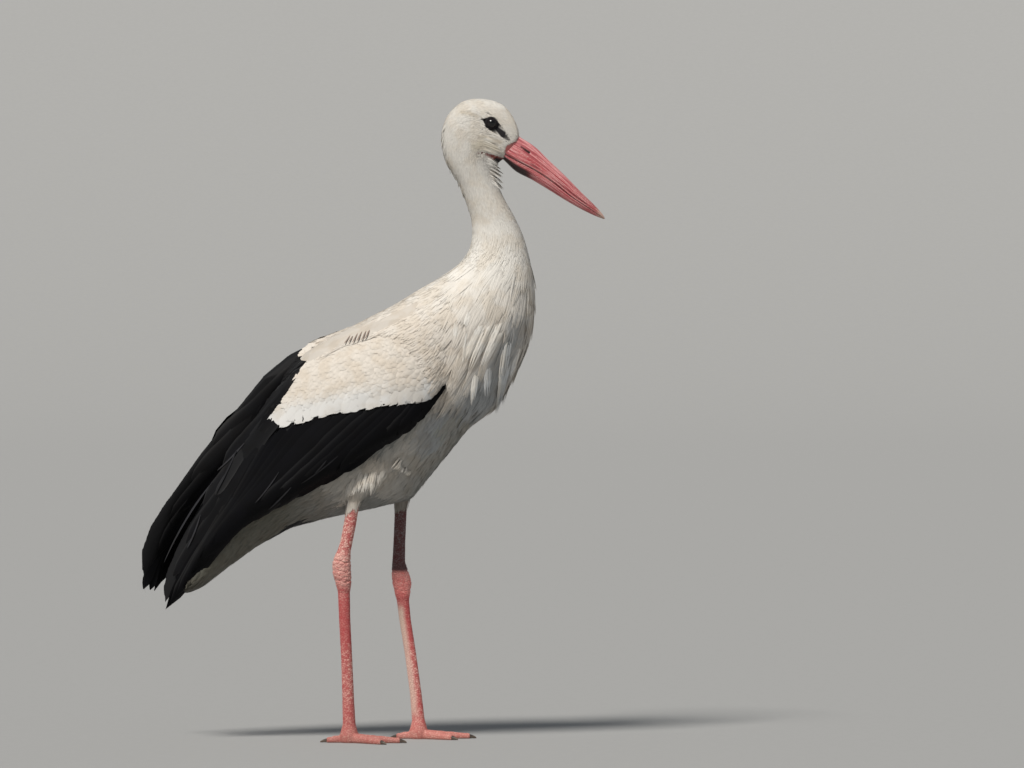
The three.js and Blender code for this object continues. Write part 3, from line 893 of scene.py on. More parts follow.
# %% Many vanes as one mesh
def vanes(name, points, faces, facing, own, roots, tint):
    """A mesh of feathers, each a grid of points, with the ways they face and their colours.

    own: each point's place across and along its own vane. roots: where the feathers start.
    """
    mesh = mesh_from_arrays(name, points.reshape(-1, 3), faces)
    mesh.normals_split_custom_set_from_vertices(facing.reshape(-1, 3).tolist())
    own = np.broadcast_to(own, points.shape[:3] + (2,))
    patch = unwrap(roots)[:, None, None, :] + PATCH * (own - 0.5)
    set_uv(mesh, "OFBake", patch.reshape(-1, 2))
    set_uv(mesh, "Vane", own.reshape(-1, 2))
    set_tint(mesh, tint.reshape(-1, 3))
    return mesh


def vane_mesh(name, line, normals, half_widths, pointed, heights, colour, shares, columns, lean):
    """Feathers on shafts, as one mesh.

    line, normals: (n, rows, 3). heights: (n, rows) above the skin. colour: (n, 3). lean: how far a feather's
    shading may turn from its neighbours'.
    """
    count, rows = line.shape[:2]
    across = np.linspace(-1, 1, columns)
    down = shares[:, None]
    along = unit(np.gradient(line, axis=1))
    side = unit(np.cross(normals, along))
    width = vane_widths(np.broadcast_to(shares, (count, rows)), pointed) * half_widths[:, None]
    total = np.linalg.norm(line[:, -1] - line[:, 0], axis=1)[:, None, None]
    frays = FRAY * rng.random((count, 1, columns)) * down**3 * total
    back = SWEEP * np.abs(across) * width[:, :, None] * down + frays
    drop = ROOF * across**2 * width[:, :, None]
    points = line[:, :, None] + side[:, :, None] * (width[:, :, None] * across)[..., None]
    points = points - along[:, :, None] * back[..., None]
    points = points + normals[:, :, None] * (heights[:, :, None] - drop)[..., None]
    turned = (ROUND * across + lean * rng.normal(0, 1, (count, 1, 1)))[..., None]
    facing = unit(normals[:, :, None] + side[:, :, None] * turned + 0.06 * along[:, :, None])
    shade = (ROOT_SHADE + (1 - ROOT_SHADE) * down)[:, None]
    tint = np.broadcast_to(colour[:, None, None, :] * shade, points.shape)
    own = np.stack(np.broadcast_arrays(across / 2 + 0.5, down), -1)
    return vanes(name, points, grid_faces(count, rows, columns), facing, own, line[:, 0], tint)


# %% [markdown]
# ## The finishes of feather
# A vane is made of fine barbs that leave the shaft at a slant, and it is matte, with a soft sheen. The
# slanting lines come from the vane's own coordinates, so they follow every feather. White and black feathers
# share the make and differ in how smooth they are: the black ones are stiffer and shine a little blue.

# %% Feather finishes
WORN_TONE = (0.93, 0.9, 0.86, 1)
BARB_SHADE = (0.3, 0.29, 0.27, 1)


def feather_finish(name, roughness, sheen, gloss, barb_depth):
    """A finish for vanes: the mesh's colour, fine slanting barbs and a raised shaft."""
    fixed = {"Roughness": roughness, "Sheen_Weight": sheen, "Specular_IOR_Level": gloss}
    finish = Finish(name, Sheen_Roughness=0.4, **fixed)
    across, along = finish.uv("Vane")
    centre = (across - 0.5).combined("ABSOLUTE", 0.0)
    barbs = ((along * 60 - centre * 34) * math.pi).combined("SINE", 0.0) * 0.5 + 0.5
    shaft = 1 - centre.smoothly(0.02, 0.06)
    patches = finish.noise(38.0, 3.0).smoothly(0.42, 0.62)
    worn = finish.mix(1.0, finish.tint(), WORN_TONE, "MULTIPLY")
    colour = finish.mix(patches, finish.tint(), worn)
    finish.feed("Base Color", finish.mix(barbs * 0.07, colour, BARB_SHADE, "MULTIPLY"))
    finish.bump(barbs * 0.4 + shaft, 0.35, barb_depth)
    return finish.material


white_feather = feather_finish("white_feather", 0.85, 0.12, 0.3, 0.0002)


def add_white(name, mesh):
    """Links a mesh of white feathers."""
    return add_piece(name, mesh, white_feather)


# %% [markdown]
# ## The small feathers
# Each region is scattered with roots, and each root takes its numbers from the blended coat. Feathers stay
# off the bare skin and get shorter near it. In the neck and breast they gather into locks: a few roots lead,
# and the others lean towards the nearest leader. White coverts stop at their limits on the wing, so the black
# feathers under them show. Where a wing lies against the body the body's feathers are pressed flat, and for
# that the wings' own surfaces are made first.

# %% Wing shells
WING_SURFACES = {}
for side in SIDES:
    wing_names = [f"wing_{side}_{part}" for part in WING_PARTS]
    WING_SURFACES[side] = surface_tree(*melted(wing_names, MELT, SKIN_VOXEL, 12))


# %% Numbers for the small feathers
SWAY = 0.08  # how far feathers stray from the lie
UNDER_SHARE = 0.5  # this many stay low and apart, and close the gaps between the locks
UNDER_HEIGHT = 0.86
UNDER_WIDER = 1.25
CALM_ABOVE = 0.75  # how evenly the feathers of the upper body, neck and head lie
TURNS_PER_LEADER = 12
LENGTH_VARIES = (0.8, 1.15)
HALF_WIDTH_VARIES = (0.42, 0.55)
OVER_HEIGHTS = (0.96, 1.06)
DOWNY_POINTED = 0.9
SHORTEST = 0.004
SOFT_SHARES = np.array([0.0, 0.38, 0.74, 1.0])  # places along a small feather
BROAD_SHARES = np.array([0.0, 0.32, 0.62, 0.85, 1.0])  # and along a broad one
WING_REGIONS = [REGIONS.index(name) for name in WING_PARTS]


# %% Locks, pressed feathers and tiny ones
def search_tree(points):
    """Points ready to be searched for the nearest one."""
    tree = KDTree(len(points))
    for k, point in enumerate(points):
        tree.insert(point, k)
    tree.balance()
    return tree


def gathered(line, clumped, shares):
    """Leans the shafts towards the nearest of a few leaders."""
    leaders = rng.permutation(len(line))[: max(1, len(line) // TURNS_PER_LEADER)]
    tree = search_tree(line[leaders, 1])
    followed = leaders[np.array([tree.find(place)[1] for place in line[:, 1]])]
    pull = clumped[:, None] * shares**1.5
    return line + (line[followed] - line) * pull[..., None]


def pressed(places, region):
    """1 for free feathers, less where a wing lies close over the body's own."""
    share = np.ones(len(places))
    body = among(region, "trunk", "rump", "tail", "thigh")
    for k in np.flatnonzero(body):
        tree = WING_SURFACES["right" if places[k, 1] < 0 else "left"]
        share[k] = tree.find_nearest(places[k])[3]
    return np.where(body, ramp(share, 0.003, 0.013), 1.0)


def near_face(places):
    """1 on most of the body, less near the eye and the bill, where feathers are tiny."""
    to_bare = -np.maximum(chain_depth(places, EYE_PATCH), chain_depth(places, GAPE_LINE))
    on_head = ramp(places[:, 2], 0.8, 0.83)
    return 1 - on_head * 0.55 * ramp(to_bare, 0.02, 0.0)


# %% Where feathers end
def trimmed(length, places, region):
    """Lengths cut back where a feather would reach past the end of its area."""
    vary = rng.uniform(0.95, 1.15, len(places))
    to_edge = np.minimum(above_covert_edge(places) / 0.75, ahead_of_covert_rear(places) / 0.25)
    room = np.maximum(to_edge, SHORTEST) * vary
    length = np.where(np.isin(region, WING_REGIONS), np.minimum(length, room), length)
    on_mantle = (places[:, 0] > MANTLE_END) & (places[:, 2] > UNDER_BODY) & among(region, "trunk")
    to_mantle_end = (places[:, 0] - MANTLE_END + 0.006) * 1.2
    length = np.where(on_mantle, np.minimum(length, to_mantle_end), length)
    to_tail_end = np.maximum(places[:, 0] - tail_low.x, SHORTEST)
    return np.where(places[:, 2] < UNDER_BODY, np.minimum(length, to_tail_end * 1.1), length)


# %% Feathers from their roots
def feathers(name, places, roots, region, shares, columns, over=OVER_HEIGHTS, under=UNDER_SHARE):
    """One piece of small white feathers from given roots.

    over: how high they lie, as a share of the coat's depth. under: how many lie lower.
    """
    depth, length, width, _, pointed, clumped = at_faces(coat_fields, roots).T
    count = len(places)
    length = length * rng.uniform(*LENGTH_VARIES, count) * near_face(places)
    length = trimmed(length, places, region)
    width = width * rng.uniform(*HALF_WIDTH_VARIES, count) * np.sqrt(near_face(places))
    normals_here = at_faces(skin_normals, roots)
    downy = ramp(-normals_here[:, 2], 0.1, 0.7)
    calm = ramp(normals_here[:, 2], 0.0, 0.6) * ramp(places[:, 2], 0.76, 0.68)
    calm = np.maximum(calm, CALM_ABOVE * ramp(places[:, 2], 0.5, 0.58))
    pointed = pointed + (DOWNY_POINTED - pointed) * downy
    low = rng.random(count) < under
    clumped = np.where(low, 0.0, clumped) * (1 - calm)
    width = np.where(low, UNDER_WIDER, 1.0) * width
    sway = rng.normal(0, SWAY, count)
    line, normals = walk(places, length, shares, sway)
    on_bare = np.maximum(bare(line[:, -1]), bare(line[:, len(shares) // 2])) > 0.0006
    if on_bare.any():
        line[on_bare], normals[on_bare] = walk(places[on_bare], length[on_bare] * 0.4, shares, sway[on_bare])
    line = gathered(line, clumped, shares)
    high = rng.uniform(*over, count)
    high = high + (1.0 - high) * 0.7 * calm
    rise = np.minimum(depth, at_faces(sink, roots) * 1.1) * np.where(low, UNDER_HEIGHT + 0.09 * calm, high)
    rise = rise * (0.15 + 0.85 * pressed(line[:, -1], region))
    heights = rise[:, None] * (0.25 + 0.75 * shares**0.55)
    on_head = ramp(places[:, 2], 0.72, 0.8)
    colour = plumage_colour(places, normals_here, region)
    colour = colour * (1 - (0.05 + 0.1 * on_head) * rng.random(count))[:, None]
    half_widths = width * (1 - 0.3 * downy)
    mesh = vane_mesh(name, line, normals, half_widths, pointed, heights, colour, shares, columns, 0.05)
    return add_white(name, mesh)


# %% Cover the body
def grow(name, regions, shares, columns, density=1.0):
    """Covers regions of the skin with small white feathers from scattered roots."""
    region_at_face = skin_region[face_corners[:, 0]]
    batches = []
    for region in regions:
        index = REGIONS.index(region)
        faces = np.flatnonzero(region_at_face == index)
        places, roots = scatter(faces, coat_table[index][3] / math.sqrt(density))
        keep = (bare(places) < 0.0004) & (places[:, 0] > tail_low.x + 0.004)
        if index in WING_REGIONS:
            keep &= (above_covert_edge(places) > 0.006) & (ahead_of_covert_rear(places) > 0.001)
        batches.append((places[keep], roots[keep], np.full(keep.sum(), index)))
    return feathers(name, *end_to_end(batches), shares, columns)


grow("coat_head", ["head"], SOFT_SHARES, 3, 1.2)
grow("coat_neck", ["neck_upper", "neck_lower"], SOFT_SHARES, 3, 1.9)
grow("coat_breast", ["breast"], SOFT_SHARES, 5, 1.35)
grow("coat_body", ["trunk", "rump", "tail"], BROAD_SHARES, 5, 1.35)
grow("coat_thighs", ["thigh"], SOFT_SHARES, 3, 1.6)
grow("coat_coverts", WING_PARTS, BROAD_SHARES, 5, 1.1)

# %% [markdown]
# ## Drape over a surface
# The coverts, the plumes and the big feathers each have a place of their own, so they are laid out in side
# view and draped: a ray from the side finds the surface under every point of a feather. Where a feather
# runs past the surface's edge it goes on level. The left wing is held a little higher and reaches farther, so
# the same layout is turned and stretched for it.

# %% Drape
RAY_START = 0.3  # rays start this far out from the bird's middle


def side_ray(tree, outward, x, z, reach):
    """Where a level ray from one side first meets a surface."""
    return tree.ray_cast(Vector((x, RAY_START * outward, z)), Vector((0, -outward, 0)), reach)


def draped(tree, outward, flat):
    """Where rows of side-view places meet a surface, and its normals there."""
    reach = RAY_START if tree is skin_tree else 2 * RAY_START  # on the body, only its near half counts
    places = np.empty(flat.shape[:2] + (3,))
    facing = np.empty(places.shape)
    for row in range(flat.shape[0]):
        missed = []
        for column, (x, z) in enumerate(flat[row]):
            hit = side_ray(tree, outward, x, z, reach)
            if hit[0] is None:
                missed.append(column)
            else:
                places[row, column], facing[row, column] = hit[0], hit[1]
        for column in missed:
            x, z = flat[row, column]
            found = np.setdiff1d(np.arange(flat.shape[1]), missed)
            if len(found):
                near = found[np.argmin(np.abs(found - column))]
                y, normal = places[row, near, 1], facing[row, near]
            elif row:
                y, normal = places[row - 1, :, 1].mean(), facing[row - 1].mean(axis=0)
            else:
                y, normal = tree.find_nearest(Vector((x, 0.02 * outward, z)))[0].y, (0.0, outward, 0.0)
            places[row, column], facing[row, column] = (x, y, z), normal
    return places, facing


def softened(grid, rounds):
    """A grid of values smoothed along its rows and its columns."""
    for _ in range(rounds):
        grid[:, 1:-1] = (grid[:, :-2] + 2 * grid[:, 1:-1] + grid[:, 2:]) / 4
        grid[1:-1] = (grid[:-2] + 2 * grid[1:-1] + grid[2:]) / 4
    return grid


def lifted(flat, side):
    """Side-view places turned from the right wing's pose to the left's."""
    if side == "right":
        return flat
    x, z = np.moveaxis((flat - WRIST) * LEFT_WING_REACH, -1, 0)
    droop = 1 - LEFT_TIP_DROOP * ramp(np.hypot(x, z), 0.46, 0.6)
    lift = np.radians(LEFT_WING_LIFT_DEG) * droop
    return WRIST + np.stack([x * np.cos(lift) + z * np.sin(lift), z * np.cos(lift) - x * np.sin(lift)], -1)


# %% [markdown]
# ## White coverts in rows
# On a folded wing the coverts lie like tiles: staggered rows, each round tip over the roots of the next row.
# The scattered coverts below close every gap, and over them these rows give the wing its soft scallops.

# %% Covert rows
ROW_GAP = 0.0075
COLUMN_GAP = 0.0092
ROW_STEEP_DEG = 46.0
TILE_SHARES = np.array([0.0, 0.3, 0.55, 0.74, 0.87, 0.95, 1.0])


def covert_roots(side, outward):
    """Roots of one wing's white coverts in staggered rows: places and faces of the skin."""
    steep = math.radians(ROW_STEEP_DEG)
    way = np.array([-math.cos(steep), -math.sin(steep)])
    across = np.array([way[1], -way[0]])
    row, column = np.meshgrid(np.arange(-8, 44), np.arange(-24, 25), indexing="ij")
    shift = rng.normal(0, 0.1, (2,) + row.shape)
    flat = WRIST + ((row + shift[0]) * ROW_GAP)[..., None] * way
    flat = flat + ((column + 0.5 * (row % 2) + shift[1]) * COLUMN_GAP)[..., None] * across
    level = np.stack([flat[..., 0], np.full(flat.shape[:2], -0.1), flat[..., 1]], -1).reshape(-1, 3)
    inside = (above_covert_edge(level) > 0.01) & (ahead_of_covert_rear(level) > 0.002)
    level = lifted(level[inside][:, (0, 2)], side)
    hits = [side_ray(skin_tree, outward, x, z, 2 * RAY_START) for x, z in level]
    hits = [(place, face) for place, _, face, _ in hits if place is not None]
    hits = [hit for hit in hits if skin_region[face_corners[hit[1], 0]] in WING_REGIONS]
    return [np.array(values) for values in zip(*hits)]


places, roots = end_to_end([covert_roots(side, outward) for side, outward in SIDES.items()])
region = np.full(len(places), REGIONS.index("coverts"))
feathers("covert_rows", places, roots, region, TILE_SHARES, 7, (1.06, 1.13), 0.0)

# %% [markdown]
# ## Plumes
# From the lower neck and the breast hang long narrow plumes. They gather into locks that taper to a point.
# Each lock is a bundle of plumes whose roots stand apart and whose tips meet, rounded across like a brush.
# The small ones are scattered over the breast, and the large ones that catch the eye are laid one by one,
# with the tufts of the throat, the flank and the thigh.

# %% Grow the plumes
PLUME_SHARES = np.array([0.0, 0.2, 0.45, 0.7, 0.88, 1.0])
PLUMES_PER_LOCK = 12
LOCK_GAP = 0.0125
BREAST_TOP = 0.7
BREAST_LOW = 0.535
BREAST_BACK = 0.128


def faces_between(regions, low, high, back):
    """Faces of the skin in some regions, between two heights and in front of x = back."""
    face_middle = skin_points[face_corners].mean(axis=1)
    allowed = among(skin_region[face_corners[:, 0]], *regions) & (face_middle[:, 0] > back)
    return np.flatnonzero(allowed & (face_middle[:, 2] > low) & (face_middle[:, 2] < high))


def plume_piece(name, line, normals, roots, proud, wisp, half_width, shade):
    """Plumes on given shafts.

    proud: how high they stand over the coat. wisp: how far the tip lifts. shade: lighter or darker.
    """
    count = len(line)
    emerge = np.interp(PLUME_SHARES, [0, 0.3, 0.65, 1], [-1.0, 0.1, 1.0, 0.7])
    heights = at_faces(coat_depth, roots)[:, None] * np.interp(PLUME_SHARES, [0, 0.3, 1], [0.45, 0.96, 1.0])
    heights = heights + proud[:, None] * emerge + wisp[:, None] * PLUME_SHARES**2
    heights = heights + 0.0006 * rng.random((count, 1)) * PLUME_SHARES
    region = skin_region[face_corners[roots, 0]]
    colour = plumage_colour(line[:, 0], at_faces(skin_normals, roots), region) * shade[:, None]
    colour = np.minimum(colour, HEAD_WHITE)
    half_widths = half_width * rng.uniform(0.75, 1.25, count)
    pointed = np.full(count, 0.9)
    mesh = vane_mesh(name, line, normals, half_widths, pointed, heights, colour, PLUME_SHARES, 3, 0.06)
    return add_white(name, mesh)


def bundle_roots(leaders, owner, spread_out):
    """Roots of the plumes round the leader of each lock: places and faces of the skin."""
    return nearest_faces(skin_tree, leaders[owner] + rng.normal(0, spread_out, (len(owner), 3)))


# %% The plumes of the breast
leaders, _ = scatter(faces_between(["neck_lower", "breast"], BREAST_LOW, BREAST_TOP, BREAST_BACK), LOCK_GAP)
down = np.clip((BREAST_TOP - leaders[:, 2]) / (BREAST_TOP - BREAST_LOW), 0, 1)
vary = rng.uniform(0.75, 1.25, (4, len(leaders)))
owner = np.repeat(np.arange(len(leaders)), PLUMES_PER_LOCK)
sway = rng.normal(0, 0.06, len(leaders))
places, roots = bundle_roots(leaders, owner, 0.0042)
reach = (0.046 + 0.036 * down) * vary[0]
line, normals = walk(places, reach[owner] * rng.uniform(0.72, 1.05, len(owner)), PLUME_SHARES, sway[owner])
lead_line, _ = walk(leaders, reach, PLUME_SHARES, sway)
line = line + (lead_line[owner] - line) * (0.72 * PLUME_SHARES**1.3)[:, None]
proud = ((0.0002 + 0.0015 * down) * vary[1])[owner]
wisp = (0.003 * ramp(leaders[:, 0], 0.2, 0.222) * (vary[2] > 1.0))[owner]
shade = (0.94 + 0.1 * (vary[3] - 0.75) / 0.5)[owner]
plume_piece("plumes_breast", line, normals, roots, proud, wisp, 0.0022, shade)


# %% Lay the listed locks
# Each row: the lock's root and tip in side view, how far it bows, half its spread, how far it stands
# proud of the coat, and how many plumes it has.
BREAST_LOCKS = [
    ((0.206, 0.618), (0.174, 0.486), 0.004, 0.009, 0.005, 40),
    ((0.198, 0.632), (0.154, 0.541), 0.003, 0.007, 0.0036, 24),
    ((0.184, 0.634), (0.139, 0.544), 0.004, 0.007, 0.0034, 24),
    ((0.17, 0.63), (0.131, 0.552), 0.003, 0.0065, 0.003, 22),
    ((0.167, 0.566), (0.16, 0.497), 0.002, 0.006, 0.0034, 20),
    ((0.152, 0.56), (0.141, 0.489), 0.002, 0.0055, 0.003, 20),
    ((0.214, 0.6), (0.19, 0.52), 0.002, 0.006, 0.003, 20),
    ((0.143, 0.64), (0.131, 0.598), 0.001, 0.0065, 0.0012, 18),
    ((0.158, 0.622), (0.143, 0.574), 0.001, 0.0065, 0.0014, 18),
    ((0.139, 0.612), (0.128, 0.549), 0.001, 0.006, 0.0018, 18),
    ((0.122, 0.622), (0.117, 0.575), 0.001, 0.006, 0.001, 16),
]
THIGH_TUFTS = [
    ((0.021, 0.402), (0.008, 0.378), 0.000, 0.0035, 0.005, 12),
    ((0.014, 0.402), (0.003, 0.369), 0.001, 0.0035, 0.0056, 12),
    ((0.006, 0.402), (-0.006, 0.362), 0.001, 0.006, 0.0064, 22),
    ((-0.003, 0.4), (-0.013, 0.366), 0.001, 0.006, 0.0064, 22),
    ((-0.01, 0.398), (-0.022, 0.36), 0.002, 0.006, 0.0066, 22),
    ((-0.018, 0.392), (-0.029, 0.356), 0.003, 0.006, 0.0064, 22),
    ((-0.023, 0.388), (-0.037, 0.358), 0.003, 0.0052, 0.0056, 20),
]
FLANK_TUFTS = [
    ((0.043, 0.416), (0.025, 0.398), 0.001, 0.003, 0.0075, 10),
    ((0.041, 0.41), (0.031, 0.394), 0.001, 0.0024, 0.007, 9),
    ((0.046, 0.404), (0.039, 0.391), 0.001, 0.0026, 0.0075, 10),
    ((0.051, 0.397), (0.047, 0.388), 0.001, 0.0022, 0.007, 9),
]
THROAT = [
    ((0.16, 0.845), (0.18, 0.8345), -0.002, 0.0018, 0.0006, 12),
    ((0.159, 0.84), (0.1826, 0.828), -0.002, 0.0018, 0.0008, 13),
    ((0.16, 0.8345), (0.1832, 0.8215), -0.003, 0.0018, 0.0008, 13),
    ((0.161, 0.8285), (0.1828, 0.815), -0.003, 0.0018, 0.0008, 13),
    ((0.1625, 0.822), (0.183, 0.807), -0.002, 0.0018, 0.0006, 13),
    ((0.165, 0.815), (0.1845, 0.798), -0.002, 0.0018, 0.0004, 13),
]
CHEEK_TUFTS = [
    ((0.1537, 0.8758), (0.1765, 0.868), -0.001, 0.003, 0.0006, 16),
    ((0.152, 0.87), (0.1815, 0.859), -0.001, 0.0032, 0.0009, 18),
    ((0.152, 0.8645), (0.183, 0.854), -0.001, 0.0032, 0.0012, 18),
    ((0.1537, 0.859), (0.18, 0.8502), -0.001, 0.0026, 0.0012, 16),
]


# %% The plumes of a lock
def bowed(start, bend, end, shares):
    """Places along a curve from start to end that is drawn towards bend."""
    return (1 - shares) ** 2 * start + 2 * shares * (1 - shares) * bend + shares**2 * end


def lock_curves(row, shift):
    """The shafts of one lock in side view, and how far each lies from the lock's middle, -1 to 1."""
    root, tip, bow, half_spread, _, plumes = row
    root, tip = np.array(root) + shift, np.array(tip) + shift
    step = (tip - root) * rng.uniform(0.9, 1.1)
    flank = np.array([step[1], -step[0]]) / np.linalg.norm(step)
    place = rng.uniform(-1, 1, (plumes, 1))
    starts = root + place * half_spread * flank + rng.uniform(-0.1, 0.3, (plumes, 1)) * step
    ends = root + step * rng.uniform(0.8, 1.03, (plumes, 1)) + place * 0.22 * half_spread * flank
    middles = (starts + ends) / 2 + flank * (bow + place * 0.25 * half_spread)
    return bowed(starts[:, None], middles[:, None], ends[:, None], PLUME_SHARES[:, None]), place[:, 0]


def laid_locks(name, rows, shift, outward, half_width, shade, facing_share=0.3):
    """Locks along given lines, on one side. facing_share: how far they face outwards."""
    flats, turns = zip(*[lock_curves(row, shift) for row in rows])
    proud = np.concatenate([row[4] * (1 - 0.35 * turn**2) for row, turn in zip(rows, turns)])
    line, _ = draped(skin_tree, outward, np.concatenate(flats))
    _, faces = nearest_faces(skin_tree, line.reshape(-1, 3))
    normals = unit(at_faces(skin_normals, faces)).reshape(line.shape)
    along = unit(np.gradient(line, axis=1))
    turned = np.cross(normals, along) * outward * np.concatenate(turns)[:, None, None]
    normals = unit(normals + facing_share * np.array([0.0, outward, 0.15]))
    normals = unit(normals + 0.3 * turned)
    roots = faces.reshape(line.shape[:2])[:, 0]
    tone = shade * rng.uniform(0.95, 1.05, len(line))
    return plume_piece(name, line, normals, roots, proud, np.zeros(len(line)), half_width, tone)


# %% Locks on both sides
LEFT_STAGGER = np.array([0.006, 0.004])  # so that the two sides aren't mirrored
for side, outward in SIDES.items():
    stagger = LEFT_STAGGER * (side == "left")
    leg_shift = np.array([middle(f"thigh_{side}")[0] - middle("thigh_right")[0], 0.0])
    # painted light: the breast locks and the thigh and flank tufts are painted brighter than the painted
    # shade round them
    laid_locks(f"breast_locks_{side}", BREAST_LOCKS, stagger, outward, 0.0019, 1.75)
    laid_locks(f"tufts_{side}", THIGH_TUFTS, leg_shift, outward, 0.0013, 1.45, 0.9)
    laid_locks(f"flank_tufts_{side}", FLANK_TUFTS, stagger, outward, 0.0013, 1.7, 0.9)
    laid_locks(f"throat_{side}", THROAT, stagger * 0.3, outward, 0.0008, 1.02, 1.0)
    laid_locks(f"cheek_{side}", CHEEK_TUFTS, np.zeros(2), outward, 0.0009, 0.95, 0.2)


# %% [markdown]
# ## Where the thigh ends, and the nape
# The feathered thigh ends raggedly over the bare leg, with plumes all round it. A ray towards the leg's
# middle finds where each one leaves the skin, and it comes down close to the shank. On the nape a few short
# tufts stand off, so that the outline of the head isn't a drawn line.

# %% The ends of the thighs
SKIRT_COUNT = 150
SKIRT_REACH = 0.016  # a thigh is no thicker than this round the shank's middle
FAR_SHADE = 0.45  # the left thigh is in the body's shade


def thigh_skirt(side):
    """Plumes all round the top of a bare shank: their lines, and the ways they face."""
    solid = points_of(cad_nodes[f"shank_{side}"].data)
    top = solid[:, 2].max()
    rim = solid[solid[:, 2] > top - 0.001]
    centre = rim.mean(axis=0)
    radius = np.linalg.norm((rim - centre)[:, :2], axis=1).mean()
    low = solid[solid[:, 2] < solid[:, 2].min() + 0.001].mean(axis=0)
    lines, ways = [], []
    for angle in rng.permutation(np.linspace(0, 2 * math.pi, SKIRT_COUNT, endpoint=False)):
        way = np.array([math.cos(angle), math.sin(angle), 0.0])
        begin = np.array([*centre[:2], top + rng.uniform(0.003, 0.016)])
        hit = skin_tree.ray_cast(Vector(begin + way * SKIRT_REACH), Vector(-way), SKIRT_REACH)
        drop = rng.uniform(0.001, 0.012) + 0.01 * max(0.0, -way[0]) * rng.random()
        end = centre + (low - centre) * drop / (top - low[2]) + way * (radius + 0.0012)
        start = np.array(hit[0]) if hit[0] is not None else begin + way * radius
        lines.append(bowed(start, (start + end) / 2 + way * 0.0015, end, PLUME_SHARES[:, None]))
        ways.append(np.broadcast_to(way, (len(PLUME_SHARES), 3)))
    return np.array(lines), np.array(ways)


line, ways = end_to_end([thigh_skirt(side) for side in SIDES])
count = len(line)
heights = np.full((count, len(PLUME_SHARES)), 0.0008)
half_widths, pointed = np.full(count, 0.0017), np.full(count, 0.9)
colour = plumage_colour(line[:, 0], ways[:, 0], np.full(count, REGIONS.index("thigh")))
colour = colour * rng.uniform(0.9, 1.05, (count, 1)) * np.where(line[:, :1, 1] < 0, 1.0, FAR_SHADE)
skirt = vane_mesh("thigh_skirts", line, ways, half_widths, pointed, heights, colour, PLUME_SHARES, 3, 0.1)
add_white("thigh_skirts", skirt)

# %% The nape
NAPE_GAP = 0.0075
PLUMES_PER_NAPE_TUFT = 6
nape_faces = faces_between(["head", "neck_upper"], 0.8, 0.895, 0.0)
backs = at_faces(skin_normals, nape_faces)
leaders, _ = scatter(nape_faces[(backs[:, 0] < -0.8) & (backs[:, 2] > -0.75)], NAPE_GAP)
owner = np.repeat(np.arange(len(leaders)), PLUMES_PER_NAPE_TUFT)
places, roots = bundle_roots(leaders, owner, 0.0014)
reach = rng.uniform(0.009, 0.015, len(leaders))[owner] * rng.uniform(0.75, 1.05, len(owner))
line, normals = walk(places, reach, PLUME_SHARES, rng.normal(0, 0.05, len(owner)))
lead_line, _ = walk(leaders, np.full(len(leaders), 0.012), PLUME_SHARES, np.zeros(len(leaders)))
line = line + (lead_line[owner] - line) * (0.7 * PLUME_SHARES)[:, None]
wisp = (rng.random(len(leaders)) ** 2 * 0.0022)[owner]
shade = rng.uniform(0.95, 1.05, len(leaders))[owner]
plume_piece("nape_tufts", line, normals, roots, np.full(len(owner), 0.0002), wisp, 0.0011, shade)

# %% [markdown]
# ## Flight feathers
# The stiff black feathers of the folded wing are long single leaves, so each is laid out by where its root
# and its tip lie, and then draped over the wing. The roots hide under the white coverts, and the tips step
# along the wing's lower margin. Each vane is tilted a little, so that one edge lies over the next feather and
# the other edge slips under the one before, like slates.

# %% The leaf of a flight feather
LEAF_ROWS = 15
LEAF_COLUMNS = 7
LEAF_SHARES = np.linspace(0, 1, LEAF_ROWS) ** 0.85  # places along a long feather
LEAF_ACROSS = np.linspace(-1, 1, LEAF_COLUMNS)  # and across it
EDGE_FRAY = 0.1
LEAF_SWEEP = 0.55
LEAF_ROUND = 0.05
SUNK_BY = (0.008, 0.002)  # how far a sunk feather goes in and down under the white coverts


def leaf_widths(shares, pointed):
    """Half widths along a flight feather, as a share of the widest."""
    opening = 0.3 + 0.7 * np.sin(np.clip(shares / 0.35, 0, 1) * math.pi / 2)
    start = 0.86 - 0.3 * pointed
    closing = np.sqrt(np.clip(1 - np.clip((shares - start) / (1.001 - start), 0, 1) ** 2, 0, 1))
    return opening * closing


def leaf_outline(root, tip, bow, half_width, pointed, lace):
    """A long feather as a flat grid in side view, and its half widths. lace: how torn its end is."""
    root, tip = np.array(root), np.array(tip)
    step = tip - root
    flank = np.array([step[1], -step[0]]) / np.linalg.norm(step)  # towards the wing's lower margin
    along = LEAF_SHARES[:, None]
    shaft = bowed(root, (root + tip) / 2 - flank * bow, tip, along)
    ahead = unit(np.gradient(shaft, axis=0))
    flanks = np.stack([ahead[:, 1], -ahead[:, 0]], 1)
    widths = leaf_widths(LEAF_SHARES, pointed) * half_width
    edges = (np.abs(LEAF_ACROSS) > 0.99) * (along > 0.3)
    frays = 1 - EDGE_FRAY * rng.random((LEAF_ROWS, LEAF_COLUMNS)) * edges
    flat = shaft[:, None] + flanks[:, None] * (widths[:, None] * LEAF_ACROSS * frays)[..., None]
    back = LEAF_SWEEP * np.abs(LEAF_ACROSS) * widths[:, None] * along**2
    flat = flat - ahead[:, None] * back[..., None]
    torn = lace * rng.uniform(-1, 0.5, LEAF_COLUMNS) * along**8
    return flat + ahead[:, None] * torn[..., None], widths


